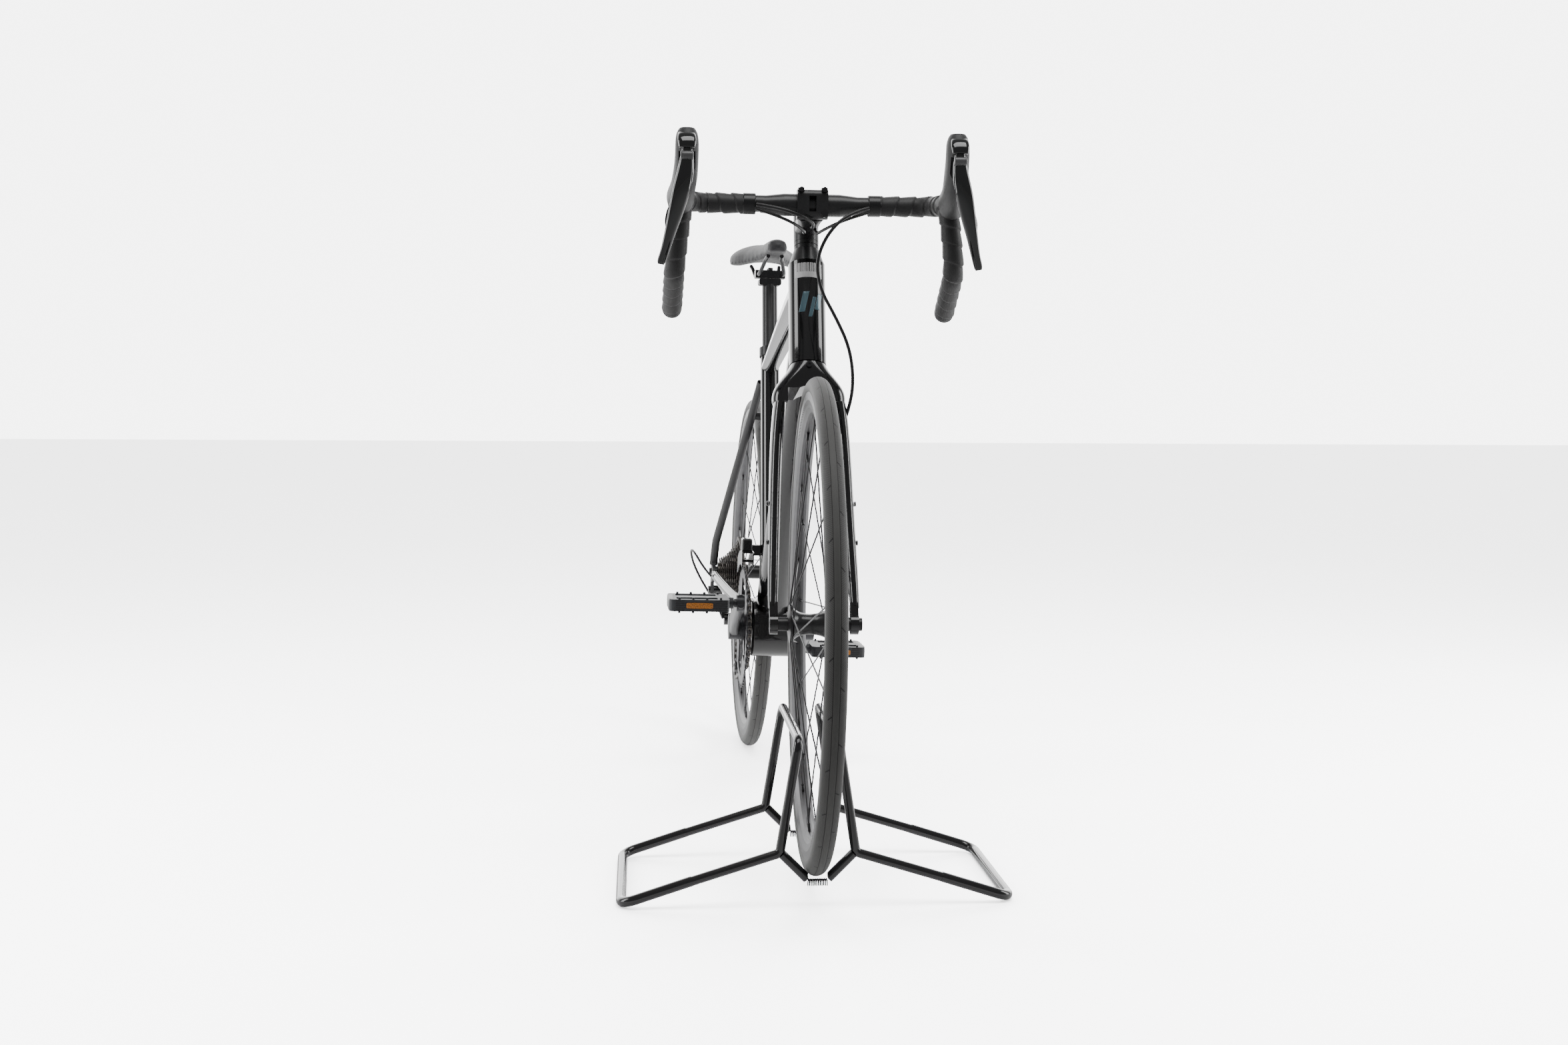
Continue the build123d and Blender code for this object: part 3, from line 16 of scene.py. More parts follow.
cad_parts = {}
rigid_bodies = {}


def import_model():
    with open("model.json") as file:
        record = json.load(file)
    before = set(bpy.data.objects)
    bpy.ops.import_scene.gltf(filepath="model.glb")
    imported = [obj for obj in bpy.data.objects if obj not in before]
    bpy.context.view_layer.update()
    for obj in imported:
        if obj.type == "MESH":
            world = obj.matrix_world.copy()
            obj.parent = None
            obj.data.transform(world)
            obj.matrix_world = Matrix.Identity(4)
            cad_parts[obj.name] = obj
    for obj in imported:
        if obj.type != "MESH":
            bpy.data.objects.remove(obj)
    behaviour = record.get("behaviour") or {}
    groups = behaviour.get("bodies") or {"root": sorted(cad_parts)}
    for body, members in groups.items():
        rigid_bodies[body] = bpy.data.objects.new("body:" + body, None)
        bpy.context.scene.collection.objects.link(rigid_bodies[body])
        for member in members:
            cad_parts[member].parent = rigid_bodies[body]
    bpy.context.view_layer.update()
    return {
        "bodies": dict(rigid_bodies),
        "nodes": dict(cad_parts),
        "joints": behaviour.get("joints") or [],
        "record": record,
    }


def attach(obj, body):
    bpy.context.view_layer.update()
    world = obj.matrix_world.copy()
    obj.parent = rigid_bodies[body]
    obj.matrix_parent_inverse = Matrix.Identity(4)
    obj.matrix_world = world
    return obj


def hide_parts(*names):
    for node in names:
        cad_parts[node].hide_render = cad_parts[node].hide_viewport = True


LOG = logging.getLogger("bicycle")
Array = np.ndarray
MM = 0.001


class Side(Enum):
    """Which side of the bicycle a piece is on, by the sign of X."""

    LEFT = 1
    RIGHT = -1


class Pattern(Enum):
    """Whether a finish's fine detail is even or drawn out in lines."""

    PLAIN = "plain"
    BRUSHED = "brushed"


# ------------------------------------------------------------------ finishes


@dataclass(frozen=True)
class Finish:
    """One surface finish and how to build its material.

    Attributes:
        name: material name.
        colour: base colour, linear red, green and blue.
        rough: roughness of clean surface.
        metal: 1 for bare metal, 0 for paint, rubber and plastic.
        coat: weight of the clear coat.
        coat_rough: roughness of the clear coat.
        pattern: kind of fine detail.
        scale: how many detail cells to a metre.
        depth: bump strength.
        vary: how much the colour is mottled, 0 to 1.
        sheen: soft cloth or rubber sheen weight.

    BRUSH stretches the detail into lines, MOTTLE is the size of the fine cells over that of the
    mottled patches, SPREAD is how far the roughness wanders, and HEIGHT is the bump's, in metres.
    """

    name: str
    colour: tuple[float, float, float]
    rough: float
    metal: float = 0.0
    coat: float = 0.0
    coat_rough: float = 0.03
    pattern: Pattern = Pattern.PLAIN
    scale: float = 300.0
    depth: float = 0.1
    vary: float = 0.15
    sheen: float = 0.0

    BRUSH = (1.0, 1.0, 12.0)
    MOTTLE = 0.04
    SPREAD = 0.25
    HEIGHT = 0.0002

    def build(self) -> Nodes:
        """Make the material, with mottled colour, uneven roughness and a fine bump.

        Returns:
            The node builder, so a caller can add more detail.
        """
        made = Nodes(self.name)
        bsdf = made.bsdf
        bsdf.inputs["Metallic"].default_value = self.metal
        bsdf.inputs["Coat Weight"].default_value = self.coat
        bsdf.inputs["Coat Roughness"].default_value = self.coat_rough
        bsdf.inputs["Sheen Weight"].default_value = self.sheen
        place = made.place()
        if self.pattern is Pattern.BRUSHED:
            place = made.stretched(place, self.BRUSH)
        cloud = made.noise(place, self.scale * self.MOTTLE, 3.0)
        dark = tuple(c * (1.0 - self.vary) for c in self.colour)
        light = tuple(min(1.0, c * (1.0 + self.vary)) for c in self.colour)
        tint = made.blend_colour(cloud, dark, light)
        made.link(tint, bsdf.inputs["Base Color"])
        fine = made.noise(place, self.scale, 4.0)
        shine = made.scaled(fine, self.rough * (1 - self.SPREAD), self.rough * (1 + self.SPREAD))
        made.link(shine, bsdf.inputs["Roughness"])
        made.bump(fine, self.depth, self.HEIGHT)
        return made


class Nodes:
    """Small builder around one material's node tree."""

    def __init__(self, name: str) -> None:
        """Start an empty principled material.

        Args:
            name: the material's name.
        """
        self.material = bpy.data.materials.new(name)
        self.material.use_nodes = True
        self.tree = self.material.node_tree
        self.bsdf = next(n for n in self.tree.nodes if n.type == "BSDF_PRINCIPLED")
        self.last_bump = None

    def new(self, kind: str) -> bpy.types.Node:
        """A new node of a kind."""
        return self.tree.nodes.new(kind)

    def link(self, out: bpy.types.NodeSocket, into: bpy.types.NodeSocket) -> None:
        """Join an output to an input."""
        self.tree.links.new(out, into)

    def place(self) -> bpy.types.NodeSocket:
        """The object's own coordinates."""
        return self.new("ShaderNodeTexCoord").outputs["Object"]

    def uv(self) -> bpy.types.NodeSocket:
        """The piece's own map, in metres along and across its surface.

        Returns:
            The map's socket.
        """
        node = self.new("ShaderNodeUVMap")
        node.uv_map = "surface"
        return node.outputs["UV"]

    def stretched(self, vector: bpy.types.NodeSocket, by: tuple[float, float, float]) -> bpy.types.NodeSocket:
        """Coordinates scaled by a factor on each axis.

        Args:
            vector: coordinates.
            by: factor on each axis.

        Returns:
            The scaled coordinates.
        """
        node = self.new("ShaderNodeMapping")
        node.inputs["Scale"].default_value = by
        self.link(vector, node.inputs["Vector"])
        return node.outputs["Vector"]

    def moved(self, vector: bpy.types.NodeSocket, to: tuple[float, float, float]) -> bpy.types.NodeSocket:
        """Coordinates counted from a point.

        Args:
            vector: coordinates.
            to: the point.

        Returns:
            The moved coordinates.
        """
        node = self.new("ShaderNodeMapping")
        node.inputs["Location"].default_value = tuple(-c for c in to)
        self.link(vector, node.inputs["Vector"])
        return node.outputs["Vector"]

    def noise(self, vector: bpy.types.NodeSocket, scale: float, detail: float) -> bpy.types.NodeSocket:
        """Cloudy noise from 0 to 1.

        Args:
            vector: coordinates.
            scale: cells to a metre.
            detail: levels of finer noise.

        Returns:
            The noise.
        """
        node = self.new("ShaderNodeTexNoise")
        node.inputs["Scale"].default_value = scale
        node.inputs["Detail"].default_value = detail
        self.link(vector, node.inputs["Vector"])
        return node.outputs["Fac"]

    def math(self, op: str, a: object, b: object = 0.0, c: object = 0.0) -> bpy.types.NodeSocket:
        """A Math node of an operation on sockets or numbers.

        Args:
            op: Blender's name of the operation.
            a: first input.
            b: second input.
            c: third input.

        Returns:
            The result socket.
        """
        node = self.new("ShaderNodeMath")
        node.operation = op
        for socket, value in zip(node.inputs, (a, b, c)):
            if isinstance(value, (int, float)):
                socket.default_value = value
            else:
                self.link(value, socket)
        return node.outputs[0]

    def axes(self, vector: bpy.types.NodeSocket) -> list[bpy.types.NodeSocket]:
        """The three parts of a vector.

        Args:
            vector: coordinates.

        Returns:
            Its three sockets.
        """
        node = self.new("ShaderNodeSeparateXYZ")
        self.link(vector, node.inputs[0])
        return [node.outputs[0], node.outputs[1], node.outputs[2]]

    def scaled(self, value: bpy.types.NodeSocket, low: float, high: float) -> bpy.types.NodeSocket:
        """A value from 0 to 1 carried onto the stretch from low to high.

        Args:
            value: the value.
            low: result at 0.
            high: result at 1.

        Returns:
            The scaled value.
        """
        node = self.new("ShaderNodeMapRange")
        node.inputs["To Min"].default_value = low
        node.inputs["To Max"].default_value = high
        self.link(value, node.inputs["Value"])
        return node.outputs["Result"]

    def step(self, value: bpy.types.NodeSocket, low: float, high: float) -> bpy.types.NodeSocket:
        """A soft step: 0 below low, 1 above high.

        Args:
            value: the value.
            low: where the step starts.
            high: where it ends.

        Returns:
            The step.
        """
        node = self.new("ShaderNodeMapRange")
        node.interpolation_type = "SMOOTHSTEP"
        node.inputs["From Min"].default_value = low
        node.inputs["From Max"].default_value = high
        self.link(value, node.inputs["Value"])
        return node.outputs["Result"]

    def blend_colour(self, mask: bpy.types.NodeSocket, a: object, b: object) -> bpy.types.NodeSocket:
        """Colour a where the mask is 0 and b where it is 1.

        Args:
            mask: share of b.
            a: colour or socket.
            b: colour or socket.

        Returns:
            The colour.
        """
        node = self.new("ShaderNodeMix")
        node.data_type = "RGBA"
        self.link(mask, node.inputs["Factor"])
        colours = [s for s in node.inputs if s.type == "RGBA"]
        for socket, value in zip(colours, (a, b)):
            if isinstance(value, tuple):
                socket.default_value = (*value, 1.0)
            else:
                self.link(value, socket)
        return next(s for s in node.outputs if s.type == "RGBA")

    def bump(self, height: bpy.types.NodeSocket, strength: float, distance: float) -> None:
        """Add a height to the surface's bump, after any bump already there.

        Args:
            height: height socket, from 0 to 1.
            strength: bump strength.
            distance: height of a full step, in metres.
        """
        node = self.new("ShaderNodeBump")
        node.inputs["Strength"].default_value = strength
        node.inputs["Distance"].default_value = distance
        self.link(height, node.inputs["Height"])
        if self.last_bump is not None:
            self.link(self.last_bump, node.inputs["Normal"])
        self.last_bump = node.outputs["Normal"]
        self.link(self.last_bump, self.bsdf.inputs["Normal"])


FRAME_PAINT = Finish("gloss black paint", (0.0035, 0.0035, 0.004), 0.16, coat=1.0, coat_rough=0.02,
                     scale=700.0, depth=0.02, vary=0.25)
STAY_PAINT = Finish("satin grey paint", (0.035, 0.035, 0.037), 0.42, coat=0.25, coat_rough=0.3,
                    scale=900.0, depth=0.05)
BLACK_ALLOY = Finish("black anodised alloy", (0.018, 0.018, 0.019), 0.34, coat=0.15, coat_rough=0.25,
                     scale=1600.0, depth=0.06)
GLOSS_ALLOY = Finish("gloss black alloy", (0.006, 0.006, 0.007), 0.2, coat=0.8, coat_rough=0.06,
                     scale=900.0, depth=0.03)
RIM_ALLOY = Finish("grey anodised rim", (0.15, 0.15, 0.155), 0.4, metal=0.85,
                   scale=1500.0, depth=0.08)
CRANK_ALLOY = Finish("grey black crank", (0.035, 0.036, 0.04), 0.36, metal=0.3, coat=0.3, coat_rough=0.2,
                     scale=1200.0, depth=0.05)
RING_ALLOY = Finish("machined ring", (0.09, 0.09, 0.095), 0.33, metal=0.8, pattern=Pattern.BRUSHED,
                    scale=900.0, depth=0.12)
STEEL = Finish("bright steel", (0.5, 0.5, 0.51), 0.28, metal=1.0, pattern=Pattern.BRUSHED, scale=1200.0,
               depth=0.08)
CHAIN_STEEL = Finish("oiled chain steel", (0.13, 0.12, 0.11), 0.32, metal=0.9, scale=900.0, depth=0.15,
                     vary=0.35)
SPOKE_STEEL = Finish("black spoke steel", (0.06, 0.06, 0.062), 0.3, metal=0.8, scale=1500.0, depth=0.05)
RAIL_STEEL = Finish("satin black rails", (0.03, 0.03, 0.032), 0.35, coat=0.2, scale=1200.0, depth=0.05)
HOOD_RUBBER = Finish("hood rubber", (0.027, 0.027, 0.028), 0.5, scale=2200.0,
                     depth=0.12, sheen=0.1)
LEVER_GLOSS = Finish("gloss lever", (0.004, 0.004, 0.0045), 0.12, coat=1.0, coat_rough=0.02, scale=900.0,
                     depth=0.02)
HOSE = Finish("hose jacket", (0.012, 0.012, 0.013), 0.35, scale=1800.0, depth=0.04)
PEDAL = Finish("moulded pedal", (0.045, 0.047, 0.052), 0.45, scale=1500.0, depth=0.2)
STAND_PAINT = Finish("gloss stand paint", (0.006, 0.006, 0.0065), 0.18, coat=1.0, coat_rough=0.04,
                     scale=420.0, depth=0.08, vary=0.3)
SPRING = Finish("dark spring steel", (0.05, 0.05, 0.05), 0.3, metal=0.7, scale=1500.0, depth=0.05)
BADGE = Finish("grey blue badge", (0.09, 0.17, 0.21), 0.25, metal=0.3, coat=1.0, coat_rough=0.02,
               scale=900.0, depth=0.02)


@dataclass(frozen=True)
class TyreFinish:
    """Road tyre rubber: slick crown, fine slanted hatching on the shoulders, smooth walls.

    Attributes:
        crown: half width of the slick band, in metres.
        shoulder: how far the hatching reaches from the middle, in metres.
        repeat: length of one tread block round the tyre, in metres.
        hatch: spacing of the fine hatching, in metres.
    """

    crown: float = 0.0043
    shoulder: float = 0.0165
    repeat: float = 0.0715
    hatch: float = 0.0028

    def build(self) -> bpy.types.Material:
        """Make the rubber. Hatching is a sine of (along + slant times across), kept between two bands;
        the long grooves are a thin line at the crown's edge that breaks off at each block's end.

        Returns:
            The finished material.
        """
        made = Nodes("tyre rubber")
        along, across, _ = made.axes(made.uv())
        out = made.math("ABSOLUTE", across)
        side = made.math("SIGN", across)
        shift = made.math("MULTIPLY_ADD", side, self.repeat * 0.25, along)
        band = made.math("MULTIPLY", made.step(out, self.crown - 0.0002, self.crown + 0.0004),
                         made.math("SUBTRACT", 1.0, made.step(out, self.shoulder - 0.002, self.shoulder)))
        slant = made.math("MULTIPLY_ADD", out, 0.75, along)
        wave = made.math("SINE", made.math("MULTIPLY", slant, 2 * math.pi / self.hatch))
        hatch = made.math("MULTIPLY", made.math("MULTIPLY_ADD", wave, 0.5, 0.5), band)
        raked = made.math("MULTIPLY_ADD", out, -0.9, shift)
        block = made.math("FRACT", made.math("DIVIDE", raked, self.repeat))
        notch = made.math("LESS_THAN", made.math("ABSOLUTE", made.math("SUBTRACT", block, 0.5)), 0.016)
        notch = made.math("MULTIPLY", notch, band)
        reach = made.math("SUBTRACT", 1.0, made.step(out, self.crown + 0.005, self.crown + 0.0062))
        notch = made.math("MULTIPLY", notch, reach)
        line = made.math("LESS_THAN", made.math("ABSOLUTE", made.math("SUBTRACT", out, self.crown)), 0.00042)
        cut = made.math("MAXIMUM", line, notch)
        place = made.place()
        cloud = made.noise(place, 22.0, 4.0)
        speck = made.noise(place, 900.0, 3.0)
        base = made.blend_colour(cloud, (0.058, 0.058, 0.056), (0.088, 0.088, 0.085))
        dusty = made.blend_colour(made.step(out, 0.012, 0.02), base, (0.1, 0.1, 0.098))
        # painted shade: the hatching's troughs, where its bump is lowest, are darkened towards 0.024
        hatch_shaded = made.blend_colour(made.math("MULTIPLY", hatch, 0.55), dusty, (0.024, 0.024, 0.024))
        # painted shade: the crown grooves and block notches are painted almost black, where their bump is
        # lowest
        groove_shaded = made.blend_colour(cut, hatch_shaded, (0.006, 0.006, 0.006))
        made.link(groove_shaded, made.bsdf.inputs["Base Color"])
        made.link(made.scaled(speck, 0.5, 0.72), made.bsdf.inputs["Roughness"])
        made.bsdf.inputs["Sheen Weight"].default_value = 0.08
        made.bump(speck, 0.15, 0.0002)
        made.bump(made.math("SUBTRACT", 1.0, made.math("MULTIPLY", hatch, 0.7)), 0.35, 0.0004)
        made.bump(made.math("SUBTRACT", 1.0, cut), 0.8, 0.0006)
        return made.material


@dataclass(frozen=True)
class RimFinish:
    """Grey rim with a ring of short slanted dashes on each wall.

    Attributes:
        centre: wheel centre in the row frame.
        radius: middle radius of the ring of dashes.
        dashes: number of dashes round the rim.
        slant: how far a dash leans, in dashes to a metre.
        groups: number of groups that the dashes come in.
    """

    centre: tuple[float, float, float]
    radius: float = 0.3035
    dashes: int = 190
    slant: float = 260.0
    groups: int = 3

    def build(self, name: str) -> bpy.types.Material:
        """Make the rim's material. The angle is the arc tangent of height over depth round the axle,
        and a dash is where the fraction of (angle times count plus slant times radius) is small.

        Args:
            name: material name.

        Returns:
            The finished material.
        """
        made = RIM_ALLOY.build()
        made.material.name = name
        _, back, up = made.axes(made.moved(made.place(), self.centre))
        angle = made.math("ARCTAN2", up, back)
        squares = made.math("ADD", made.math("MULTIPLY", up, up), made.math("MULTIPLY", back, back))
        radius = made.math("SQRT", squares)
        off = made.math("SUBTRACT", radius, self.radius)
        lean = made.math("MULTIPLY", off, self.slant)
        turn = made.math("MULTIPLY_ADD", angle, self.dashes / (2 * math.pi), lean)
        dash = made.math("LESS_THAN", made.math("FRACT", turn), 0.42)
        ring = made.math("LESS_THAN", made.math("ABSOLUTE", off), 0.0034)
        group = made.math("FRACT", made.math("MULTIPLY", angle, self.groups / (2 * math.pi)))
        part = made.math("GREATER_THAN", group, 0.45)
        mask = made.math("MULTIPLY", made.math("MULTIPLY", dash, ring), part)
        old = made.bsdf.inputs["Base Color"].links[0].from_socket
        made.link(made.blend_colour(mask, old, (0.02, 0.02, 0.021)), made.bsdf.inputs["Base Color"])
        return made.material


@dataclass(frozen=True)
class TapeFinish:
    """Matte wrapped handlebar tape with fine pores and worn edges."""

    colour: tuple[float, float, float] = (0.022, 0.022, 0.0225)
    worn: tuple[float, float, float] = (0.06, 0.06, 0.061)

    def build(self) -> bpy.types.Material:
        """Make the tape: pores from cell distance, paler where the wrap's raised edge is rubbed.

        Returns:
            The finished material.
        """
        made = Nodes("wrapped bar tape")
        place = made.place()
        cloud = made.noise(place, 60.0, 4.0)
        pores = made.new("ShaderNodeTexVoronoi")
        pores.inputs["Scale"].default_value = 900.0
        made.link(place, pores.inputs["Vector"])
        along, _, _ = made.axes(made.uv())
        edge = made.step(made.math("FRACT", along), 0.86, 0.99)
        tint = made.blend_colour(made.math("MULTIPLY", edge, cloud), self.colour, self.worn)
        made.link(tint, made.bsdf.inputs["Base Color"])
        made.link(made.scaled(cloud, 0.42, 0.62), made.bsdf.inputs["Roughness"])
        made.bsdf.inputs["Sheen Weight"].default_value = 0.12
        made.bump(pores.outputs["Distance"], 0.25, 0.0003)
        made.bump(cloud, 0.3, 0.0006)
        return made.material


@dataclass(frozen=True)
class SaddleFinish:
    """Matte synthetic saddle cover with a fine pebble grain."""

    colour: tuple[float, float, float] = (0.016, 0.016, 0.018)

    def build(self) -> bpy.types.Material:
        """Make the cover: small cells for bump, under slow mottling.

        Returns:
            The finished material.
        """
        made = Nodes("saddle cover")
        place = made.place()
        cells = made.new("ShaderNodeTexVoronoi")
        cells.inputs["Scale"].default_value = 1300.0
        made.link(place, cells.inputs["Vector"])
        cloud = made.noise(place, 40.0, 4.0)
        tint = made.blend_colour(cloud, self.colour, tuple(c * 1.7 for c in self.colour))
        made.link(tint, made.bsdf.inputs["Base Color"])
        made.link(made.scaled(cloud, 0.45, 0.6), made.bsdf.inputs["Roughness"])
        made.bsdf.inputs["Sheen Weight"].default_value = 0.15
        made.bump(cells.outputs["Distance"], 0.25, 0.0003)
        return made.material


@dataclass(frozen=True)
class ReflectorFinish:
    """Amber pedal reflector moulded in small prisms."""

    colour: tuple[float, float, float] = (0.75, 0.24, 0.008)

    def build(self) -> bpy.types.Material:
        """Make the amber plastic: small cells give the prisms' sparkle, as a bump and as painted shade that
        darkens the colour towards each cell's edge.

        Returns:
            The finished material.
        """
        made = Nodes("amber reflector")
        cells = made.new("ShaderNodeTexVoronoi")
        cells.inputs["Scale"].default_value = 520.0
        made.link(made.place(), cells.inputs["Vector"])
        # painted shade: the amber darkens to 0.35 times its colour towards each cell's edge, the shade
        # between the prisms
        tint = made.blend_colour(cells.outputs["Distance"], self.colour, tuple(c * 0.35 for c in self.colour))
        made.link(tint, made.bsdf.inputs["Base Color"])
        made.bsdf.inputs["Roughness"].default_value = 0.25
        made.bsdf.inputs["Coat Weight"].default_value = 0.8
        made.bump(cells.outputs["Distance"], 0.8, 0.0008)
        return made.material


# ------------------------------------------------------------------ placing and surfaces


@dataclass(frozen=True)
class Setting:
    """How the upright drawing of the bicycle is set down in the stand, in metres and radians.

    Attributes:
        middle: the drawing's point that becomes the row's origin.
        head_low: foot of the head tube in the drawing.
        head_angle: slope of the steering line.
        turn: how far the bars are turned about the steering line.
        lean: how far the bicycle leans to its left.
    """

    middle: tuple[float, float, float] = (0.0039, 0.50067, 0.0)
    head_low: tuple[float, float, float] = (0.0, 0.174, 0.719)
    head_angle: float = math.radians(70.5)
    turn: float = math.radians(-2.6)
    lean: float = math.radians(1.3)

    def matrix(self, steered: bool) -> Array:
        """Four by four placing: turn about the steering line if steered, then lean about the
        line where the wheels meet the floor, then shift to the row's origin.

        Args:
            steered: True for what turns with the bars.

        Returns:
            The matrix as an array.
        """
        low = Vector(self.head_low)
        way = Vector((0, math.cos(self.head_angle), math.sin(self.head_angle)))
        turned = Matrix.Identity(4)
        if steered:
            turned = Matrix.Translation(low) @ Matrix.Rotation(self.turn, 4, way) @ Matrix.Translation(-low)
        leaned = Matrix.Rotation(self.lean, 4, "Y")
        return np.array(Matrix.Translation(-Vector(self.middle)) @ leaned @ turned)

    def carry(self, points: Array, steered: bool) -> Array:
        """Carry drawing points into the row frame.

        Args:
            points: points in the drawing, in metres.
            steered: True for what turns with the bars.

        Returns:
            The points in the row frame, in the same grid.
        """
        flat = np.asarray(points, float).reshape(-1, 3)
        m = self.matrix(steered)
        return (flat @ m[:3, :3].T + m[:3, 3]).reshape(np.shape(points))


SETTING = Setting()


def grid_mesh(name: str, points: Array, wrap_u: bool, wrap_v: bool, uv: Array | None = None,
              cap_u: bool = False) -> bpy.types.Object:
    """Turn a grid of points into a mesh object, one quad to each cell.

    Args:
        name: object name.
        points: array of rows (u) by columns (v) by 3.
        wrap_u: the last row joins the first.
        wrap_v: the last column joins the first.
        uv: array of rows by columns by 2, or None.
        cap_u: close the first and last rows with a fan.

    Returns:
        The new object, at the origin.
    """
    nu, nv = points.shape[:2]
    iu = np.arange(nu if wrap_u else nu - 1)
    iv = np.arange(nv if wrap_v else nv - 1)
    a, b = np.meshgrid(iu, iv, indexing="ij")
    c, d = (a + 1) % nu, (b + 1) % nv
    quads = np.stack([a * nv + b, c * nv + b, c * nv + d, a * nv + d], -1).reshape(-1, 4)
    verts = points.reshape(-1, 3)
    faces = [tuple(q) for q in quads.tolist()]
    if cap_u:
        first = verts[:nv].mean(0)
        last = verts[-nv:].mean(0)
        start, end = len(verts), len(verts) + 1
        verts = np.vstack([verts, first, last])
        ring = np.arange(nv)
        turn = (ring + 1) % nv
        base = (nu - 1) * nv
        faces += [(start, int(p), int(q)) for p, q in zip(ring, turn)]
        faces += [(end, int(base + q), int(base + p)) for p, q in zip(ring, turn)]
    mesh = bpy.data.meshes.new(name)
    mesh.from_pydata(verts.tolist(), [], faces)
    if uv is not None:
        layer = mesh.uv_layers.new(name="surface")
        nxt_u = np.where(c == 0, nu, c) if wrap_u else c
        nxt_v = np.where(d == 0, nv, d) if wrap_v else d
        full = uv
        if wrap_u:
            full = np.concatenate([full, 2 * full[-1:] - full[-2:-1]], 0)
        if wrap_v:
            full = np.concatenate([full, 2 * full[:, -1:] - full[:, -2:-1]], 1)
        corner = np.stack([full[a, b], full[nxt_u, b], full[nxt_u, nxt_v], full[a, nxt_v]], 2)
        flat = corner.reshape(-1)
        extra = len(layer.data) * 2 - len(flat)
        if extra > 0:
            flat = np.concatenate([flat, np.zeros(extra)])
        layer.data.foreach_set("uv", flat.astype(np.float32))
    mesh.validate()
    mesh.update()
    obj = bpy.data.objects.new(name, mesh)
    bpy.context.collection.objects.link(obj)
    outwards(obj)
    return obj


def outwards(obj: bpy.types.Object, smooth: bool = True) -> None:
    """Make an object's faces point outwards and shade them smoothly.

    Args:
        obj: the piece.
        smooth: False where its faces stay flat.
    """
    bm = bmesh.new()
    bm.from_mesh(obj.data)
    bmesh.ops.recalc_face_normals(bm, faces=bm.faces[:])
    bm.to_mesh(obj.data)
    bm.free()
    obj.data.polygons.foreach_set("use_smooth", np.full(len(obj.data.polygons), smooth))


def dress(obj: bpy.types.Object, material: bpy.types.Material, body: str) -> bpy.types.Object:
    """Give a piece its material and its body.

    Args:
        obj: the piece.
        material: its material.
        body: the body it rides on.

    Returns:
        The same piece.
    """
    obj.data.materials.clear()
    obj.data.materials.append(material)
    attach(obj, body)
    LOG.info("piece %s rides on %s", obj.name, body)
    return obj


def tube_frames(path: Array) -> tuple[Array, Array]:
    """Two directions square to a path: its direction crossed with a fixed guide, and with the first.

    Args:
        path: points in order.

    Returns:
        The first and second cross directions.
    """
    tangent = np.gradient(path, axis=0)
    tangent /= np.linalg.norm(tangent, axis=1)[:, None]
    guide = np.array([0.0, 0.0, 1.0]) + 0.35 * np.array([0.0, -1.0, 0.0])
    if abs(tangent[:, 2]).max() > 0.9:
        guide = np.array([1.0, 0.12, 0.0])
    first = np.cross(tangent, guide)
    first /= np.linalg.norm(first, axis=1)[:, None]
    second = np.cross(tangent, first)
    return first, second


def bent_line(corners: Array, radii: list[float], spacing: float) -> Array:
    """Centre line of a bent metal tube: straight runs joined by round bends.

    Each bend leaves its corner by radius times the tangent of half the turn, and its arc is
    centre plus radius times (cosine, sine) in the plane of the two runs.

    Args:
        corners: the tube's corner points.
        radii: bend radius at each inner corner.
        spacing: distance between points.

    Returns:
        Points along the line, evenly spaced.
    """
    corners = np.asarray(corners, float)
    parts = [corners[:1]]
    for k, radius in enumerate(radii):
        a, b, c = corners[k:k + 3]
        u = (b - a) / np.linalg.norm(b - a)
        v = (c - b) / np.linalg.norm(c - b)
        turn = math.acos(float(np.clip(u @ v, -1, 1)))
        cut = radius * math.tan(turn / 2)
        start = b - u * cut
        side = v - u * (u @ v)
        side /= np.linalg.norm(side)
        t = np.linspace(0, turn, 24)[:, None]
        parts.append(start + radius * (np.sin(t) * u + (1 - np.cos(t)) * side))
    parts.append(corners[-1:])
    raw = np.vstack(parts)
    length = np.concatenate([[0], np.cumsum(np.linalg.norm(np.diff(raw, axis=0), axis=1))])
    keep = np.concatenate([[True], np.diff(length) > 1e-9])
    raw, length = raw[keep], length[keep]
    want = np.linspace(0, length[-1], max(8, int(length[-1] / spacing)))
    return np.stack([np.interp(want, length, raw[:, k]) for k in range(3)], 1)


# ------------------------------------------------------------------ wheels


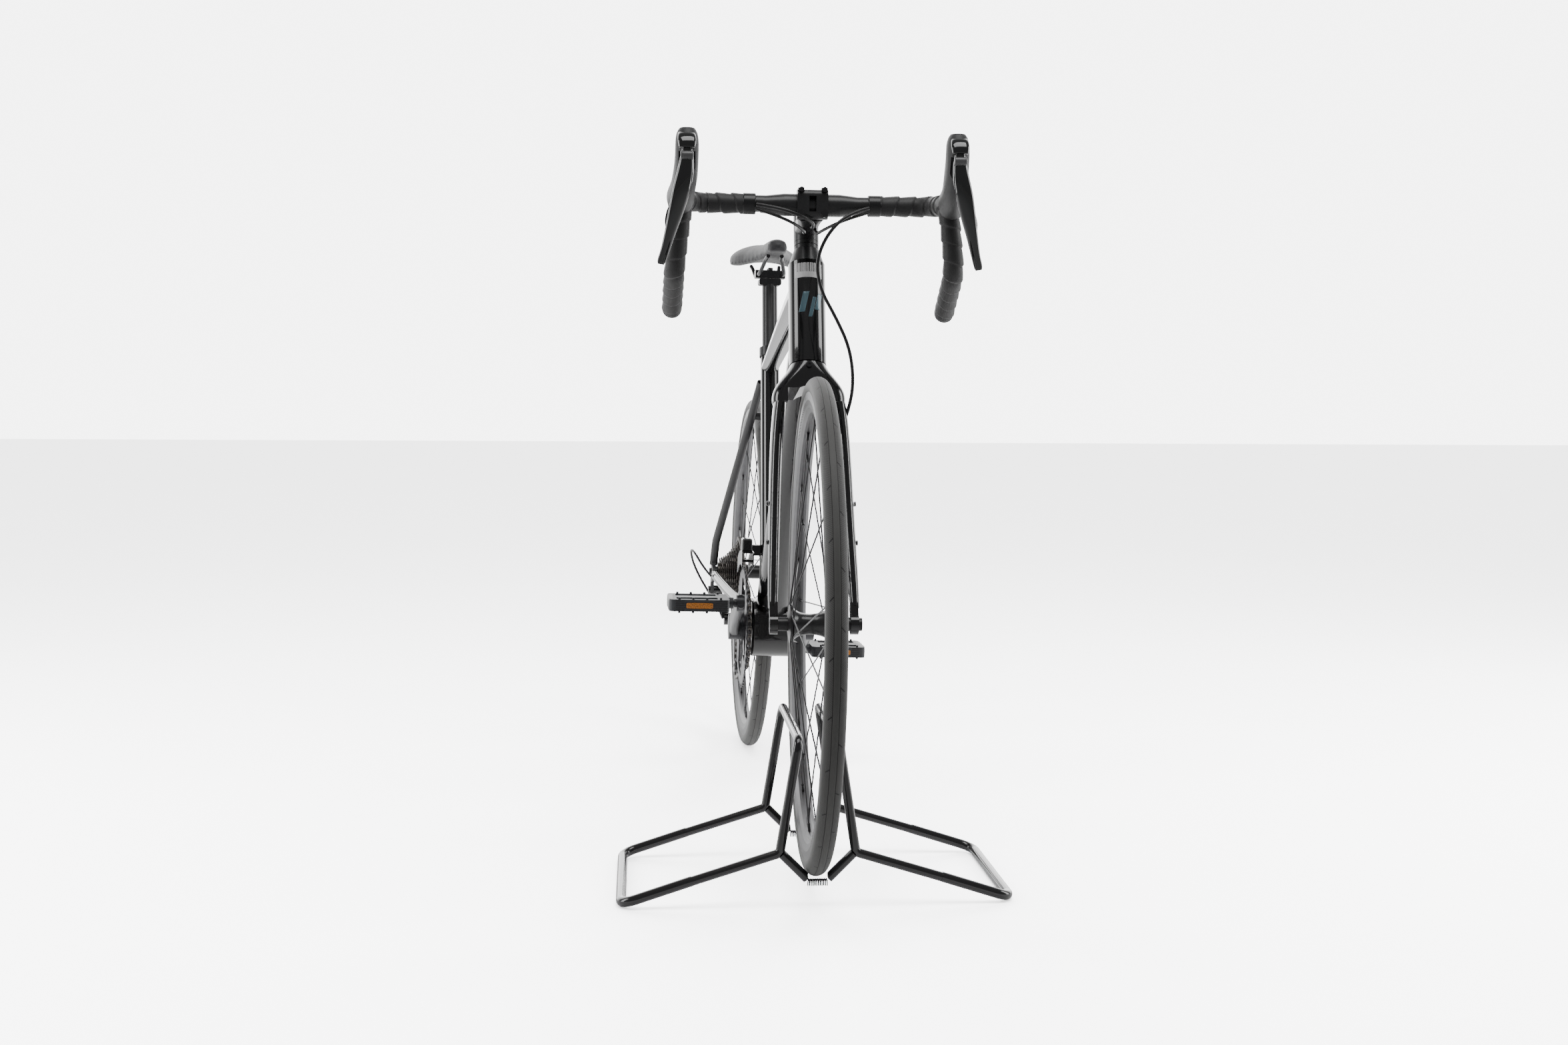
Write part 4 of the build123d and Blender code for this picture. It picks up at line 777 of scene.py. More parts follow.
@dataclass
class Tyre:
    """Road tyre as a closed ring section carried round the wheel.

    Attributes:
        node: the CAD node it replaces.
        body: the wheel body it rides on.
        centre: wheel centre in the drawing.
        steered: True for the front wheel.
        ring: radius of the section's centre circle.
        section: section radius.
        around: steps round the wheel.
        groove: half width of the slick band between the crown grooves.
        groove_deep: depth of a crown groove.
        wall: half width between the rim's walls.
        rim_edge: radius below which the rim's walls hold the section.
        seat: radius of the rim's seat.
        outside: radius over the tread.
    """

    node: str
    body: str
    centre: tuple[float, float, float]
    steered: bool
    ring: float = 0.32375
    section: float = 0.01418
    around: int = 480
    groove: float = 0.0043
    groove_deep: float = 0.00045
    wall: float = 0.0096
    rim_edge: float = 0.3176
    seat: float = 0.3131
    outside: float = 0.338

    def surface(self) -> tuple[Array, Array]:
        """Points and map of the tyre.

        For a turn t round the wheel and an angle a round the section, the distance from the axle is
        ring + section * cos(a), and the distance aside is section * sin(a). Near the rim the section
        is held between the rim's walls. A dip of 0.45 mm marks each crown groove.

        Returns:
            Grid of points in the drawing, and grid of (along, across) in metres.
        """
        groove = self.groove / self.section
        outer = np.concatenate([
            np.linspace(0, groove - 0.03, 5), [groove - 0.012, groove, groove + 0.012],
            np.linspace(groove + 0.04, 2.45, 20), np.linspace(2.6, math.pi, 5),
        ])
        angle = np.concatenate([-outer[:0:-1], outer])[:-1]
        dip = self.groove_deep * (np.abs(np.abs(angle) - groove) < 0.004)
        t = np.linspace(0, 2 * math.pi, self.around, endpoint=False)
        tt, aa = np.meshgrid(t, angle, indexing="ij")
        radius = self.section - dip[None, :]
        away = self.ring + radius * np.cos(aa)
        aside = radius * np.sin(aa)
        held = np.clip(aside, -self.wall, self.wall)
        aside = np.where(away < self.rim_edge, held, aside)
        away = np.maximum(away, self.seat)
        points = np.stack([aside, away * np.cos(tt), away * np.sin(tt)], -1) + np.array(self.centre)
        uv = np.stack([tt * self.outside, aa * self.section], -1)
        return points, uv

    def build(self, material: bpy.types.Material) -> None:
        """Make the tyre and hide its plain CAD ring.

        Args:
            material: the rubber.
        """
        points, uv = self.surface()
        obj = grid_mesh(self.node + "_tread", SETTING.carry(points, self.steered), True, True, uv)
        dress(obj, material, self.body)
        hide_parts(self.node)


# ------------------------------------------------------------------ handlebar


HALF_BAR = np.array([
    (0.0, 145.0, 948.0), (178.0, 145.0, 949.0), (184.0, 64.0, 945.0),
    (195.0, 66.0, 852.0), (198.5, 176.0, 798.0),
]) * MM
HALF_BAR_BENDS = [34.0 * MM, 34.0 * MM, 46.0 * MM]


@dataclass
class BarTape:
    """Tape wrapped round one half of the bar, with its finishing band and end plug.

    Attributes:
        side: which half.
        pitch: distance from one turn of tape to the next.
        bare: distance from the middle of the bar where the tape starts.
        thick: radius over the tape.
        overlap: how much the radius rises over one turn.
        band: length of the finishing band.
        step: distance between points along the bar.
    """

    side: Side
    pitch: float = 0.0235
    bare: float = 0.080
    thick: float = 0.0150
    overlap: float = 0.0019
    band: float = 0.017
    step: float = 0.0012

    def path(self) -> Array:
        """Centre line of the taped part, from the inner end to the plug.

        Returns:
            Points in the drawing, on this half's side.
        """
        line = bent_line(HALF_BAR, HALF_BAR_BENDS, self.step)
        line = line[line[:, 0] > self.bare]
        return line * np.array([self.side.value, 1.0, 1.0])

    def surface(self) -> tuple[Array, Array]:
        """Points and map of the tape.

        For a distance s along the bar and an angle a round it, the wrap's phase is
        s / pitch + a / (2 pi); the radius rises over each turn from thick - overlap to thick, with a
        rounded step where turns overlap, and a slow ripple makes the edges wavy.

        Returns:
            Grid of points in the drawing, and grid of (wrap phase, angle).
        """
        path = self.path()
        first, second = tube_frames(path)
        s = np.concatenate([[0], np.cumsum(np.linalg.norm(np.diff(path, axis=0), axis=1))])
        a = np.linspace(0, 2 * math.pi, 40, endpoint=False)
        ss, aa = np.meshgrid(s, a, indexing="ij")
        ripple = 0.035 * np.sin(3 * aa + ss * 55.0)
        phase = ss / self.pitch + self.side.value * aa / (2 * math.pi) + ripple
        turn = phase - np.floor(phase)
        rise = np.clip(turn / 0.9, 0, 1) ** 0.8 * np.clip((1 - turn) / 0.06, 0, 1)
        radius = self.thick - self.overlap * (1 - rise)
        end = np.clip((s[-1] - ss) / 0.004, 0, 1)
        start = np.clip(ss / 0.0015, 0, 1)
        radius = radius - 0.0010 * (1 - end) - 0.0010 * (1 - start)
        points = path[:, None] + radius[..., None] * (
            np.cos(aa)[..., None] * first[:, None] + np.sin(aa)[..., None] * second[:, None])
        return points, np.stack([turn, aa / (2 * math.pi)], -1)

    def build(self, tape: bpy.types.Material, band: bpy.types.Material, plug: bpy.types.Material) -> list:
        """Make the tape, its finishing band and its plug.

        Args:
            tape: tape material.
            band: finishing band material.
            plug: end plug material.

        Returns:
            The pieces made.
        """
        tag = self.side.name.lower()
        points, uv = self.surface()
        wrapped = grid_mesh("bar_tape_" + tag, SETTING.carry(points, True), False, True, uv, cap_u=True)
        dress(wrapped, tape, "fork")
        path = self.path()
        first, second = tube_frames(path)
        rows = int(self.band / self.step) + 2
        a = np.linspace(0, 2 * math.pi, 40, endpoint=False)
        t = np.linspace(0, 1, rows)
        swell = self.thick + 0.0001 - 0.0006 * np.clip(np.abs(2 * t - 1) * 8 - 7, 0, 1)
        ring = path[:rows, None] + swell[:, None, None] * (
            np.cos(a)[None, :, None] * first[:rows, None] + np.sin(a)[None, :, None] * second[:rows, None])
        banding = grid_mesh("tape_band_" + tag, SETTING.carry(ring, True), False, True, cap_u=True)
        dress(banding, band, "fork")
        tip = path[-1]
        way = path[-1] - path[-4]
        way /= np.linalg.norm(way)
        p = np.linspace(0, math.pi / 2, 10)[:, None]
        q = np.linspace(0, 2 * math.pi, 36, endpoint=False)[None, :]
        out = np.cos(q)[..., None] * first[-1] + np.sin(q)[..., None] * second[-1]
        dome = tip + (0.0002 + 0.0052 * np.sin(p))[..., None] * way + 0.0137 * np.cos(p)[..., None] * out
        cap = grid_mesh("bar_plug_" + tag, SETTING.carry(dome[:-1], True), False, True, cap_u=True)
        dress(cap, plug, "fork")
        return [wrapped, banding, cap]


# ------------------------------------------------------------------ saddle


@dataclass
class Saddle:
    """Racing saddle: a domed pad with turned-down wings and a relief channel.

    Attributes:
        front: depth of the nose in the drawing.
        back: depth of the tail.
        stations: (share of the length, width, height, level) from nose to tail, in mm.
    """

    front: float = 0.650
    back: float = 0.921
    stations: tuple = (
        (0.000, 12.0, 8.0, 936.0), (0.020, 28.0, 19.0, 936.5), (0.100, 35.0, 23.5, 937.5),
        (0.300, 41.0, 25.5, 938.0), (0.500, 57.0, 26.5, 939.0), (0.680, 87.0, 29.5, 941.0),
        (0.820, 117.0, 32.5, 942.5), (0.920, 129.0, 32.5, 944.0), (0.985, 122.0, 25.5, 947.0),
        (1.000, 104.0, 13.0, 950.0),
    )

    def surface(self) -> Array:
        """Grid of points of the saddle.

        Along the saddle the width, height and level are smooth curves through the stations. Round
        each section, for an angle a, the point is (half width * sign(cos a) * |cos a|^0.5,
        half height * |sin a|^0.62), with the underside flatter, the wings drawn down towards the
        edges and a shallow channel along the middle of the top.

        Returns:
            Grid of points in the drawing.
        """
        table = np.array(self.stations)
        t = 0.5 - 0.5 * np.cos(np.linspace(0, math.pi, 90))
        width, height, level = (smooth_through(table[:, 0], table[:, k], t) * MM for k in (1, 2, 3))
        a = np.linspace(0, 2 * math.pi, 64, endpoint=False)
        ca, sa = np.cos(a)[None, :], np.sin(a)[None, :]
        across = np.sign(ca) * np.abs(ca) ** 0.5
        x = width[:, None] / 2 * across
        top = np.where(sa > 0, np.abs(sa) ** 0.62, -0.85 * np.abs(sa) ** 0.6)
        wing = np.clip((t - 0.3) / 0.4, 0, 1)[:, None]
        drop = (0.3 + 0.75 * wing) * np.abs(across) ** 2.0
        z = level[:, None] + height[:, None] / 2 * (top - drop + 0.12)
        wide = np.clip((t - 0.25) / 0.3, 0, 1) * np.clip((0.97 - t) / 0.12, 0, 1)
        channel = 0.0026 * np.exp(-((x / 0.0075) ** 2)) * wide[:, None] * (sa > 0.2)
        z = z - channel
        y = self.front + (self.back - self.front) * t[:, None] + 0 * x
        return np.stack([x, y, z], -1)

    def build(self, cover: bpy.types.Material) -> bpy.types.Object:
        """Make the pad and let it swell a little as foam under its cover.

        Args:
            cover: the cover's material.

        Returns:
            The pad.
        """
        obj = grid_mesh("saddle_pad", SETTING.carry(self.surface(), False), False, True, cap_u=True)
        swell_pad(obj, voxel=0.005, pressure=3.0, cap=0.0012)
        level = obj.modifiers.new("smooth", "SUBSURF")
        level.levels = 1
        level.render_levels = 1
        dress(obj, cover, "saddle")
        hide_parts("saddle")
        return obj


def smooth_through(x: Array, y: Array, at: Array) -> Array:
    """Smooth curve through stations: cubic pieces whose slopes are the mean of the neighbouring slopes.

    Args:
        x: station places, rising.
        y: values at the stations.
        at: where to read the curve.

    Returns:
        Values at those places.
    """
    slope = np.diff(y) / np.diff(x)
    m = np.concatenate([[slope[0]], (slope[1:] + slope[:-1]) / 2, [slope[-1]]])
    k = np.clip(np.searchsorted(x, at, side="right") - 1, 0, len(x) - 2)
    h = x[k + 1] - x[k]
    s = (at - x[k]) / h
    return ((2 * s**3 - 3 * s**2 + 1) * y[k] + (s**3 - 2 * s**2 + s) * h * m[k]
            + (-2 * s**3 + 3 * s**2) * y[k + 1] + (s**3 - s**2) * h * m[k + 1])


def swell_pad(obj: bpy.types.Object, voxel: float, pressure: float, cap: float,
              frames: int = 12) -> None:
    """Let a pad swell as cloth over foam, and keep every point within cap of where it was.

    Args:
        obj: closed pad mesh at the origin.
        voxel: remesh size in metres.
        pressure: cloth pressure.
        cap: furthest a point may move, in metres.
        frames: length of the simulation.
    """
    scene = bpy.context.scene
    bpy.context.view_layer.objects.active = obj
    remesh = obj.modifiers.new("even", "REMESH")
    remesh.mode = "VOXEL"
    remesh.voxel_size = voxel
    remesh.use_smooth_shade = True
    depsgraph = bpy.context.evaluated_depsgraph_get()
    fresh = bpy.data.meshes.new_from_object(obj.evaluated_get(depsgraph))
    obj.modifiers.clear()
    obj.data = fresh
    rest = np.empty(len(fresh.vertices) * 3)
    fresh.vertices.foreach_get("co", rest)
    cloth = obj.modifiers.new("foam", "CLOTH")
    cloth.settings.use_pressure = True
    cloth.settings.uniform_pressure_force = pressure
    cloth.settings.effector_weights.gravity = 0.0
    cloth.settings.tension_stiffness = 40
    cloth.settings.bending_stiffness = 5
    cloth.settings.quality = 4
    cloth.point_cache.frame_start = 1
    cloth.point_cache.frame_end = frames
    for step in range(1, frames + 1):
        scene.frame_set(step)
    depsgraph = bpy.context.evaluated_depsgraph_get()
    settled = bpy.data.meshes.new_from_object(obj.evaluated_get(depsgraph))
    obj.modifiers.clear()
    now = np.empty(len(settled.vertices) * 3)
    settled.vertices.foreach_get("co", now)
    scene.frame_set(1)
    if len(now) == len(rest) and np.isfinite(now).all():
        move = (now - rest).reshape(-1, 3)
        size = np.linalg.norm(move, axis=1)[:, None]
        move = move * np.minimum(1.0, cap / np.maximum(size, 1e-9))
        fresh.vertices.foreach_set("co", (rest.reshape(-1, 3) + move).reshape(-1))
        fresh.update()
    fresh.polygons.foreach_set("use_smooth", np.ones(len(fresh.polygons), bool))


# ------------------------------------------------------------------ cords


@dataclass
class Cord:
    """A hose or cable on its own route.

    Attributes:
        node: the CAD node it replaces.
        points: control points in the drawing, in millimetres.
        length: cut length in metres; not used.
        radius: hose radius in metres.
        body: body it rides on.
        steered: True where it turns with the bars.
    """

    node: str
    points: list[tuple[float, float, float]]
    length: float
    radius: float
    body: str
    steered: bool = True

    def build(self, material: bpy.types.Material) -> bpy.types.Object:
        """Make the hose as one smooth spline with these control points.

        Args:
            material: the jacket.

        Returns:
            The hose.
        """
        spots = SETTING.carry(np.array(self.points) * MM, self.steered)
        curve = bpy.data.curves.new(self.node + "_line", "CURVE")
        curve.dimensions = "3D"
        curve.bevel_depth = self.radius
        curve.bevel_resolution = 4
        curve.resolution_u = 12
        curve.use_fill_caps = True
        line = curve.splines.new("NURBS")
        line.points.add(len(spots) - 1)
        line.points.foreach_set("co", np.hstack([spots, np.ones((len(spots), 1))]).ravel())
        line.order_u = 3
        line.use_endpoint_u = True
        obj = bpy.data.objects.new(self.node + "_line", curve)
        bpy.context.collection.objects.link(obj)
        dress(obj, material, self.body)
        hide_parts(self.node)
        return obj


CORDS = [
    Cord("front_brake_hose", [
        (80.0, 124.0, 943.0), (50.0, 108.0, 934.0), (20.0, 100.0, 905.0), (4.0, 103.0, 866.0),
        (11.0, 108.0, 826.0), (34.0, 114.0, 788.0), (55.0, 119.0, 746.0), (62.0, 121.0, 700.0),
        (57.0, 119.0, 662.0), (47.0, 116.0, 634.0)], 0.3641, 0.0025, "fork"),
    Cord("rear_brake_hose", [
        (-80.0, 123.0, 945.0), (-52.0, 111.0, 940.0), (-22.0, 108.0, 931.0), (2.0, 128.0, 922.0),
        (3.0, 162.0, 916.0), (2.5, 200.0, 924.0)], 0.1645, 0.0025, "fork"),
    Cord("rear_shift_cable", [
        (-80.0, 124.0, 939.0), (-54.0, 114.0, 930.0), (-27.0, 122.0, 920.0), (-9.0, 152.0, 912.0),
        (-8.0, 180.0, 911.0), (-7.0, 207.0, 922.0)], 0.1493, 0.0022, "fork"),
    Cord("front_shift_cable", [
        (80.0, 125.0, 937.0), (54.0, 112.0, 928.0), (30.0, 124.0, 919.0), (14.0, 153.0, 912.0),
        (11.0, 180.0, 911.0), (10.0, 207.0, 922.0)], 0.1458, 0.0022, "fork"),
    Cord("rear_cable_loop", [
        (-82.0, 952.0, 333.0), (-95.0, 980.0, 347.0), (-110.0, 1008.0, 372.0), (-117.0, 1043.0, 378.0),
        (-112.0, 1072.0, 352.0), (-96.0, 1078.0, 318.0), (-78.0, 1066.0, 290.0), (-66.0, 1052.0, 268.0)],
        0.2462, 0.0022, "frame", False),
]


# ------------------------------------------------------------------ chain


def prism(outline: Array, half: float) -> tuple[Array, list[tuple[int, ...]]]:
    """A flat outline given thickness: its points at -half and +half, with walls and two caps.

    Args:
        outline: points round the outline.
        half: half the thickness.

    Returns:
        Points, and faces as point numbers.
    """
    n = len(outline)
    points = np.vstack([np.column_stack([outline, np.full(n, level)]) for level in (-half, half)])
    walls = [(k, (k + 1) % n, (k + 1) % n + n, k + n) for k in range(n)]
    return points, walls + [tuple(range(n))[::-1], tuple(range(n, 2 * n))]


@dataclass
class Chain:
    """Roller chain in separate links round ring, largest cog and both pulleys.

    Attributes:
        wheels: (depth, height, teeth, sense, aside) of each toothed wheel in the drawing, in mm.
        pitch: distance from pin to pin.
        square_on: how far the chain runs straight off each wheel before it slants.
        plate_half: half the height of a side plate.
        inner_gap: how far an inner plate stands from the middle.
        outer_gap: how far an outer plate stands from the middle.
    """

    wheels: tuple = (
        (592.0, 282.0, 34, 1, -43.0), (1001.0, 338.0, 32, 1, -24.3),
        (1012.0, 243.0, 11, -1, -24.3), (985.0, 155.0, 11, 1, -24.3),
    )
    pitch: float = 12.7
    square_on: float = 32.0
    plate_half: float = 3.9
    inner_gap: float = 2.15
    outer_gap: float = 2.95

    def line(self) -> Array:
        """Closed pitch line of the chain as dense points.

        Between two wheels it is their common tangent, whose direction is the direction between
        centres plus the arc sine of the difference of signed radii over their distance; on each
        wheel it is the arc between tangents.

        Returns:
            Points in millimetres in the drawing.
        """
        c = np.array([(-y, z) for y, z, _, _, _ in self.wheels])
        r = np.array([s * self.pitch / (2 * math.sin(math.pi / n)) for _, _, n, s, _ in self.wheels])
        x = np.array([w[4] for w in self.wheels])
        d = np.roll(c, -1, 0) - c
        reach = np.linalg.norm(d, axis=1)
        theta = np.arctan2(d[:, 1], d[:, 0]) + np.arcsin((r - np.roll(r, -1)) / reach)
        normal = np.stack([np.sin(theta), -np.cos(theta)], 1)
        leave = c + r[:, None] * normal
        land = np.roll(c, -1, 0) + np.roll(r, -1)[:, None] * normal
        parts = []
        for k in range(4):
            before = theta[k - 1]
            sense = 1.0 if r[k] > 0 else -1.0
            turn = (theta[k] - before) * sense % (2 * math.pi)
            a = before + sense * np.linspace(0, turn, 120)
            arc = c[k] + r[k] * np.stack([np.sin(a), -np.cos(a)], 1)
            parts.append(np.column_stack([np.full(120, x[k]), -arc[:, 0], arc[:, 1]]))
            run = np.linspace(0, 1, 160)[1:-1, None]
            way = leave[k] + (land[k] - leave[k]) * run
            length = np.linalg.norm(land[k] - leave[k])
            slanted = length - 2 * self.square_on
            share = np.clip((run[:, 0] * length - self.square_on) / slanted, 0, 1)
            aside = x[k] + (np.roll(x, -1)[k] - x[k]) * share
            parts.append(np.column_stack([aside, -way[:, 0], way[:, 1]]))
        return np.vstack(parts)

    def pins(self) -> Array:
        """Pin centres, evenly spaced at very nearly the pitch.

        Returns:
            Points in millimetres in the drawing.
        """
        line = self.line()
        line = np.vstack([line, line[:1]])
        s = np.concatenate([[0], np.cumsum(np.linalg.norm(np.diff(line, axis=0), axis=1))])
        count = 2 * round(s[-1] / self.pitch / 2)
        want = np.arange(count) * s[-1] / count
        return np.stack([np.interp(want, s, line[:, k]) for k in range(3)], 1)

    def plate_outline(self) -> Array:
        """A side plate's outline: half circles about both pins, pulled in halfway between them.

        Returns:
            Points along and across the link, in millimetres.
        """
        a = np.linspace(-math.pi / 2, math.pi / 2, 7)
        half, waist = self.plate_half, 0.62 * self.plate_half
        right = np.stack([self.pitch + half * np.cos(a), half * np.sin(a)], 1)
        left = np.stack([-half * np.cos(a), -half * np.sin(a)], 1)
        middle = self.pitch * 0.5
        return np.vstack([right, [[middle, waist]], left, [[middle, -waist]]])

    def build(self, material: bpy.types.Material) -> bpy.types.Object:
        """Make every link: two waisted plates, a roller and a rivet, placed by whole-array rotation.

        Args:
            material: the steel.

        Returns:
            The chain.
        """
        pins = self.pins()
        along = np.roll(pins, -1, 0) - pins
        along /= np.linalg.norm(along, axis=1)[:, None]
        side = np.array([1.0, 0.0, 0.0]) - along * along[:, :1]
        side /= np.linalg.norm(side, axis=1)[:, None]
        up = np.cross(along, side)
        b = np.linspace(0, 2 * math.pi, 10, endpoint=False)
        disc = np.stack([np.cos(b), np.sin(b)], 1)
        plate = prism(self.plate_outline(), 0.4)
        even = np.arange(len(pins)) % 2 == 0
        gap = np.where(even, self.inner_gap, self.outer_gap)
        roller, rivet = prism(3.8 * disc, 2.0), prism(1.5 * disc, 3.3)
        shapes = ((plate, gap), (plate, -gap), (roller, 0 * gap), (rivet, 0 * gap))
        verts, faces, count = [], [], 0
        for (shape, shape_faces), shift in shapes:
            aside = shape[None, :, 2] + shift[:, None]
            place = (pins[:, None] + shape[None, :, :1] * along[:, None]
                     + shape[None, :, 1:2] * up[:, None] + aside[..., None] * side[:, None])
            verts.append(place.reshape(-1, 3))
            base = count + np.arange(len(pins)) * len(shape)
            faces += [tuple(int(v + start) for v in f) for start in base for f in shape_faces]
            count += len(pins) * len(shape)
        points = SETTING.carry(np.vstack(verts) * MM, False)
        mesh = bpy.data.meshes.new("chain_links")
        mesh.from_pydata(points.tolist(), [], faces)
        mesh.update()
        obj = bpy.data.objects.new("chain_links", mesh)
        bpy.context.collection.objects.link(obj)
        outwards(obj, smooth=False)
        dress(obj, material, "frame")
        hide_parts("chain")
        return obj


# ------------------------------------------------------------------ levers and small trim


@dataclass
class BrakeLever:
    """Curved gloss lever blade with a rounded face, its pivot drum, and the plate on the hood.

    Attributes:
        side: which hand.
        stations: (x, y, z, width, thickness) down the blade in the drawing, in mm, for the left.
    """

    side: Side
    stations: tuple = (
        (180.0, -50.5, 1000.0, 12.0, 10.0), (180.0, -52.0, 984.0, 17.5, 13.0),
        (182.0, -54.0, 964.0, 21.5, 14.5), (187.0, -53.0, 940.0, 23.0, 14.0),
        (193.5, -47.5, 914.0, 20.0, 12.5), (200.5, -39.5, 889.0, 15.5, 10.5),
        (207.0, -31.0, 866.0, 12.5, 8.5), (212.0, -25.0, 851.0, 11.5, 7.0),
        (213.0, -24.0, 846.0, 8.5, 4.5),
    )

    def surface(self) -> Array:
        """Grid of points of the blade.

        Down the blade the middle, width and thickness are smooth curves through the stations. Round
        each section the point is (half width * sign(cos a) * |cos a|^0.9, half thickness * sin a),
        with the forward face a little fuller than the back face.

        Returns:
            Grid of points in the drawing.
        """
        table = np.array(self.stations) * MM
        t = np.linspace(0, 1, len(table))
        u = np.linspace(0, 1, 60)
        mid = np.stack([smooth_through(t, table[:, k], u) for k in range(3)], 1)
        wide = smooth_through(t, table[:, 3], u)[:, None] / 2
        thick = smooth_through(t, table[:, 4], u)[:, None] / 2
        way = np.gradient(mid, axis=0)
        way /= np.linalg.norm(way, axis=1)[:, None]
        across = np.tile([1.0, -0.12, 0.0], (len(mid), 1))
        across -= (across * way).sum(1)[:, None] * way
        across /= np.linalg.norm(across, axis=1)[:, None]
        front = np.cross(way, across)
        front *= np.sign(-front[:, 1:2])
        a = np.linspace(0, 2 * math.pi, 40, endpoint=False)
        ca, sa = np.cos(a)[None, :], np.sin(a)[None, :]
        x = wide * np.sign(ca) * np.abs(ca) ** 0.9
        y = thick * np.where(sa > 0, 0.9 * sa + 0.1 * (1 - np.abs(ca)), 0.75 * sa)
        grid = mid[:, None] + x[..., None] * across[:, None] + y[..., None] * front[:, None]
        return grid * np.array([self.side.value, 1.0, 1.0])

    def build(self, gloss: bpy.types.Material, drum: bpy.types.Material) -> None:
        """Make the blade in place of the CAD one, the drum it turns on and the hood's plate.

        Args:
            gloss: material of the blade and the plate.
            drum: material of the drum.
        """
        tag = self.side.name.lower()
        blade = grid_mesh("lever_blade_" + tag, SETTING.carry(self.surface(), True), False, True, cap_u=True)
        dress(blade, gloss, "brake_lever_" + tag)
        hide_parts("brake_lever_" + tag)
        middle = np.array([180.0 * self.side.value, -57.0, 985.0]) * MM
        a = np.linspace(0, 2 * math.pi, 36, endpoint=False)
        rows = []
        for along, radius in ((-8.5, 4.2), (-8.0, 5.4), (-7.0, 5.9), (7.0, 5.9), (8.0, 5.4), (8.5, 4.2)):
            ring = np.stack([0 * a + along, radius * np.cos(a), radius * np.sin(a)], 1) * MM
            rows.append(middle + ring)
        top = np.array([(181.5, -20.0, 1018.0, 15.0, 5.0), (180.8, -40.0, 1016.0, 22.0, 6.5),
                        (180.2, -52.0, 1006.0, 24.0, 8.0), (180.0, -56.5, 995.0, 21.0, 7.0)]) * MM
        u = np.linspace(0, 1, 24)
        t = np.linspace(0, 1, 4)
        mid = np.stack([smooth_through(t, top[:, k], u) for k in range(3)], 1)
        wide = smooth_through(t, top[:, 3], u)[:, None] / 2
        thick = smooth_through(t, top[:, 4], u)[:, None] / 2
        way = np.gradient(mid, axis=0)
        front = np.stack([0 * u, way[:, 2], -way[:, 1]], 1)
        front /= np.linalg.norm(front, axis=1)[:, None]
        ca, sa = np.cos(a)[None, :], np.sin(a)[None, :]
        shell = mid[:, None] + (wide * np.sign(ca) * np.abs(ca) ** 0.7)[..., None] * np.array([1.0, 0.0, 0.0])
        shell = shell + (thick * sa)[..., None] * front[:, None]
        shell = shell * np.array([self.side.value, 1.0, 1.0])
        plate = grid_mesh("hood_plate_" + tag, SETTING.carry(shell, True), False, True, cap_u=True)
        dress(plate, gloss, "fork")
        turned = SETTING.carry(np.stack(rows), True)
        drum_piece = grid_mesh("lever_drum_" + tag, turned, False, True, cap_u=True)
        dress(drum_piece, drum, "brake_lever_" + tag)


FRONT_HUB = ((-28.5, 22.0), (-22.0, 17.2), (-12.0, 14.6), (0.0, 14.4), (10.0, 16.6), (15.0, 18.6),
             (18.6, 21.0))


@dataclass
class HubShell:
    """Hub shell turned with two flared flanges and a narrower, swelling barrel.

    Attributes:
        node: CAD node whose sides it covers.
        body: wheel body.
        centre: wheel centre in the drawing, in metres.
        steered: True for the front hub.
        profile: (aside, radius) along the hub in mm.
    """

    node: str
    body: str
    centre: tuple[float, float, float]
    steered: bool
    profile: tuple

    def build(self, material: bpy.types.Material) -> None:
        """Make the shell: the profile's smooth curve turned round the axle.

        Args:
            material: the shell's finish.
        """
        table = np.array(self.profile) * MM
        u = np.linspace(table[0, 0], table[-1, 0], 90)
        radius = smooth_through(table[:, 0], table[:, 1], u)
        a = np.linspace(0, 2 * math.pi, 48, endpoint=False)
        round_ = radius[:, None]
        points = np.stack([u[:, None] + 0 * a, round_ * np.cos(a), round_ * np.sin(a)], -1)
        piece = grid_mesh(self.node + "_shell", SETTING.carry(points + np.array(self.centre), self.steered),
                          False, True, cap_u=True)
        dress(piece, material, self.body)


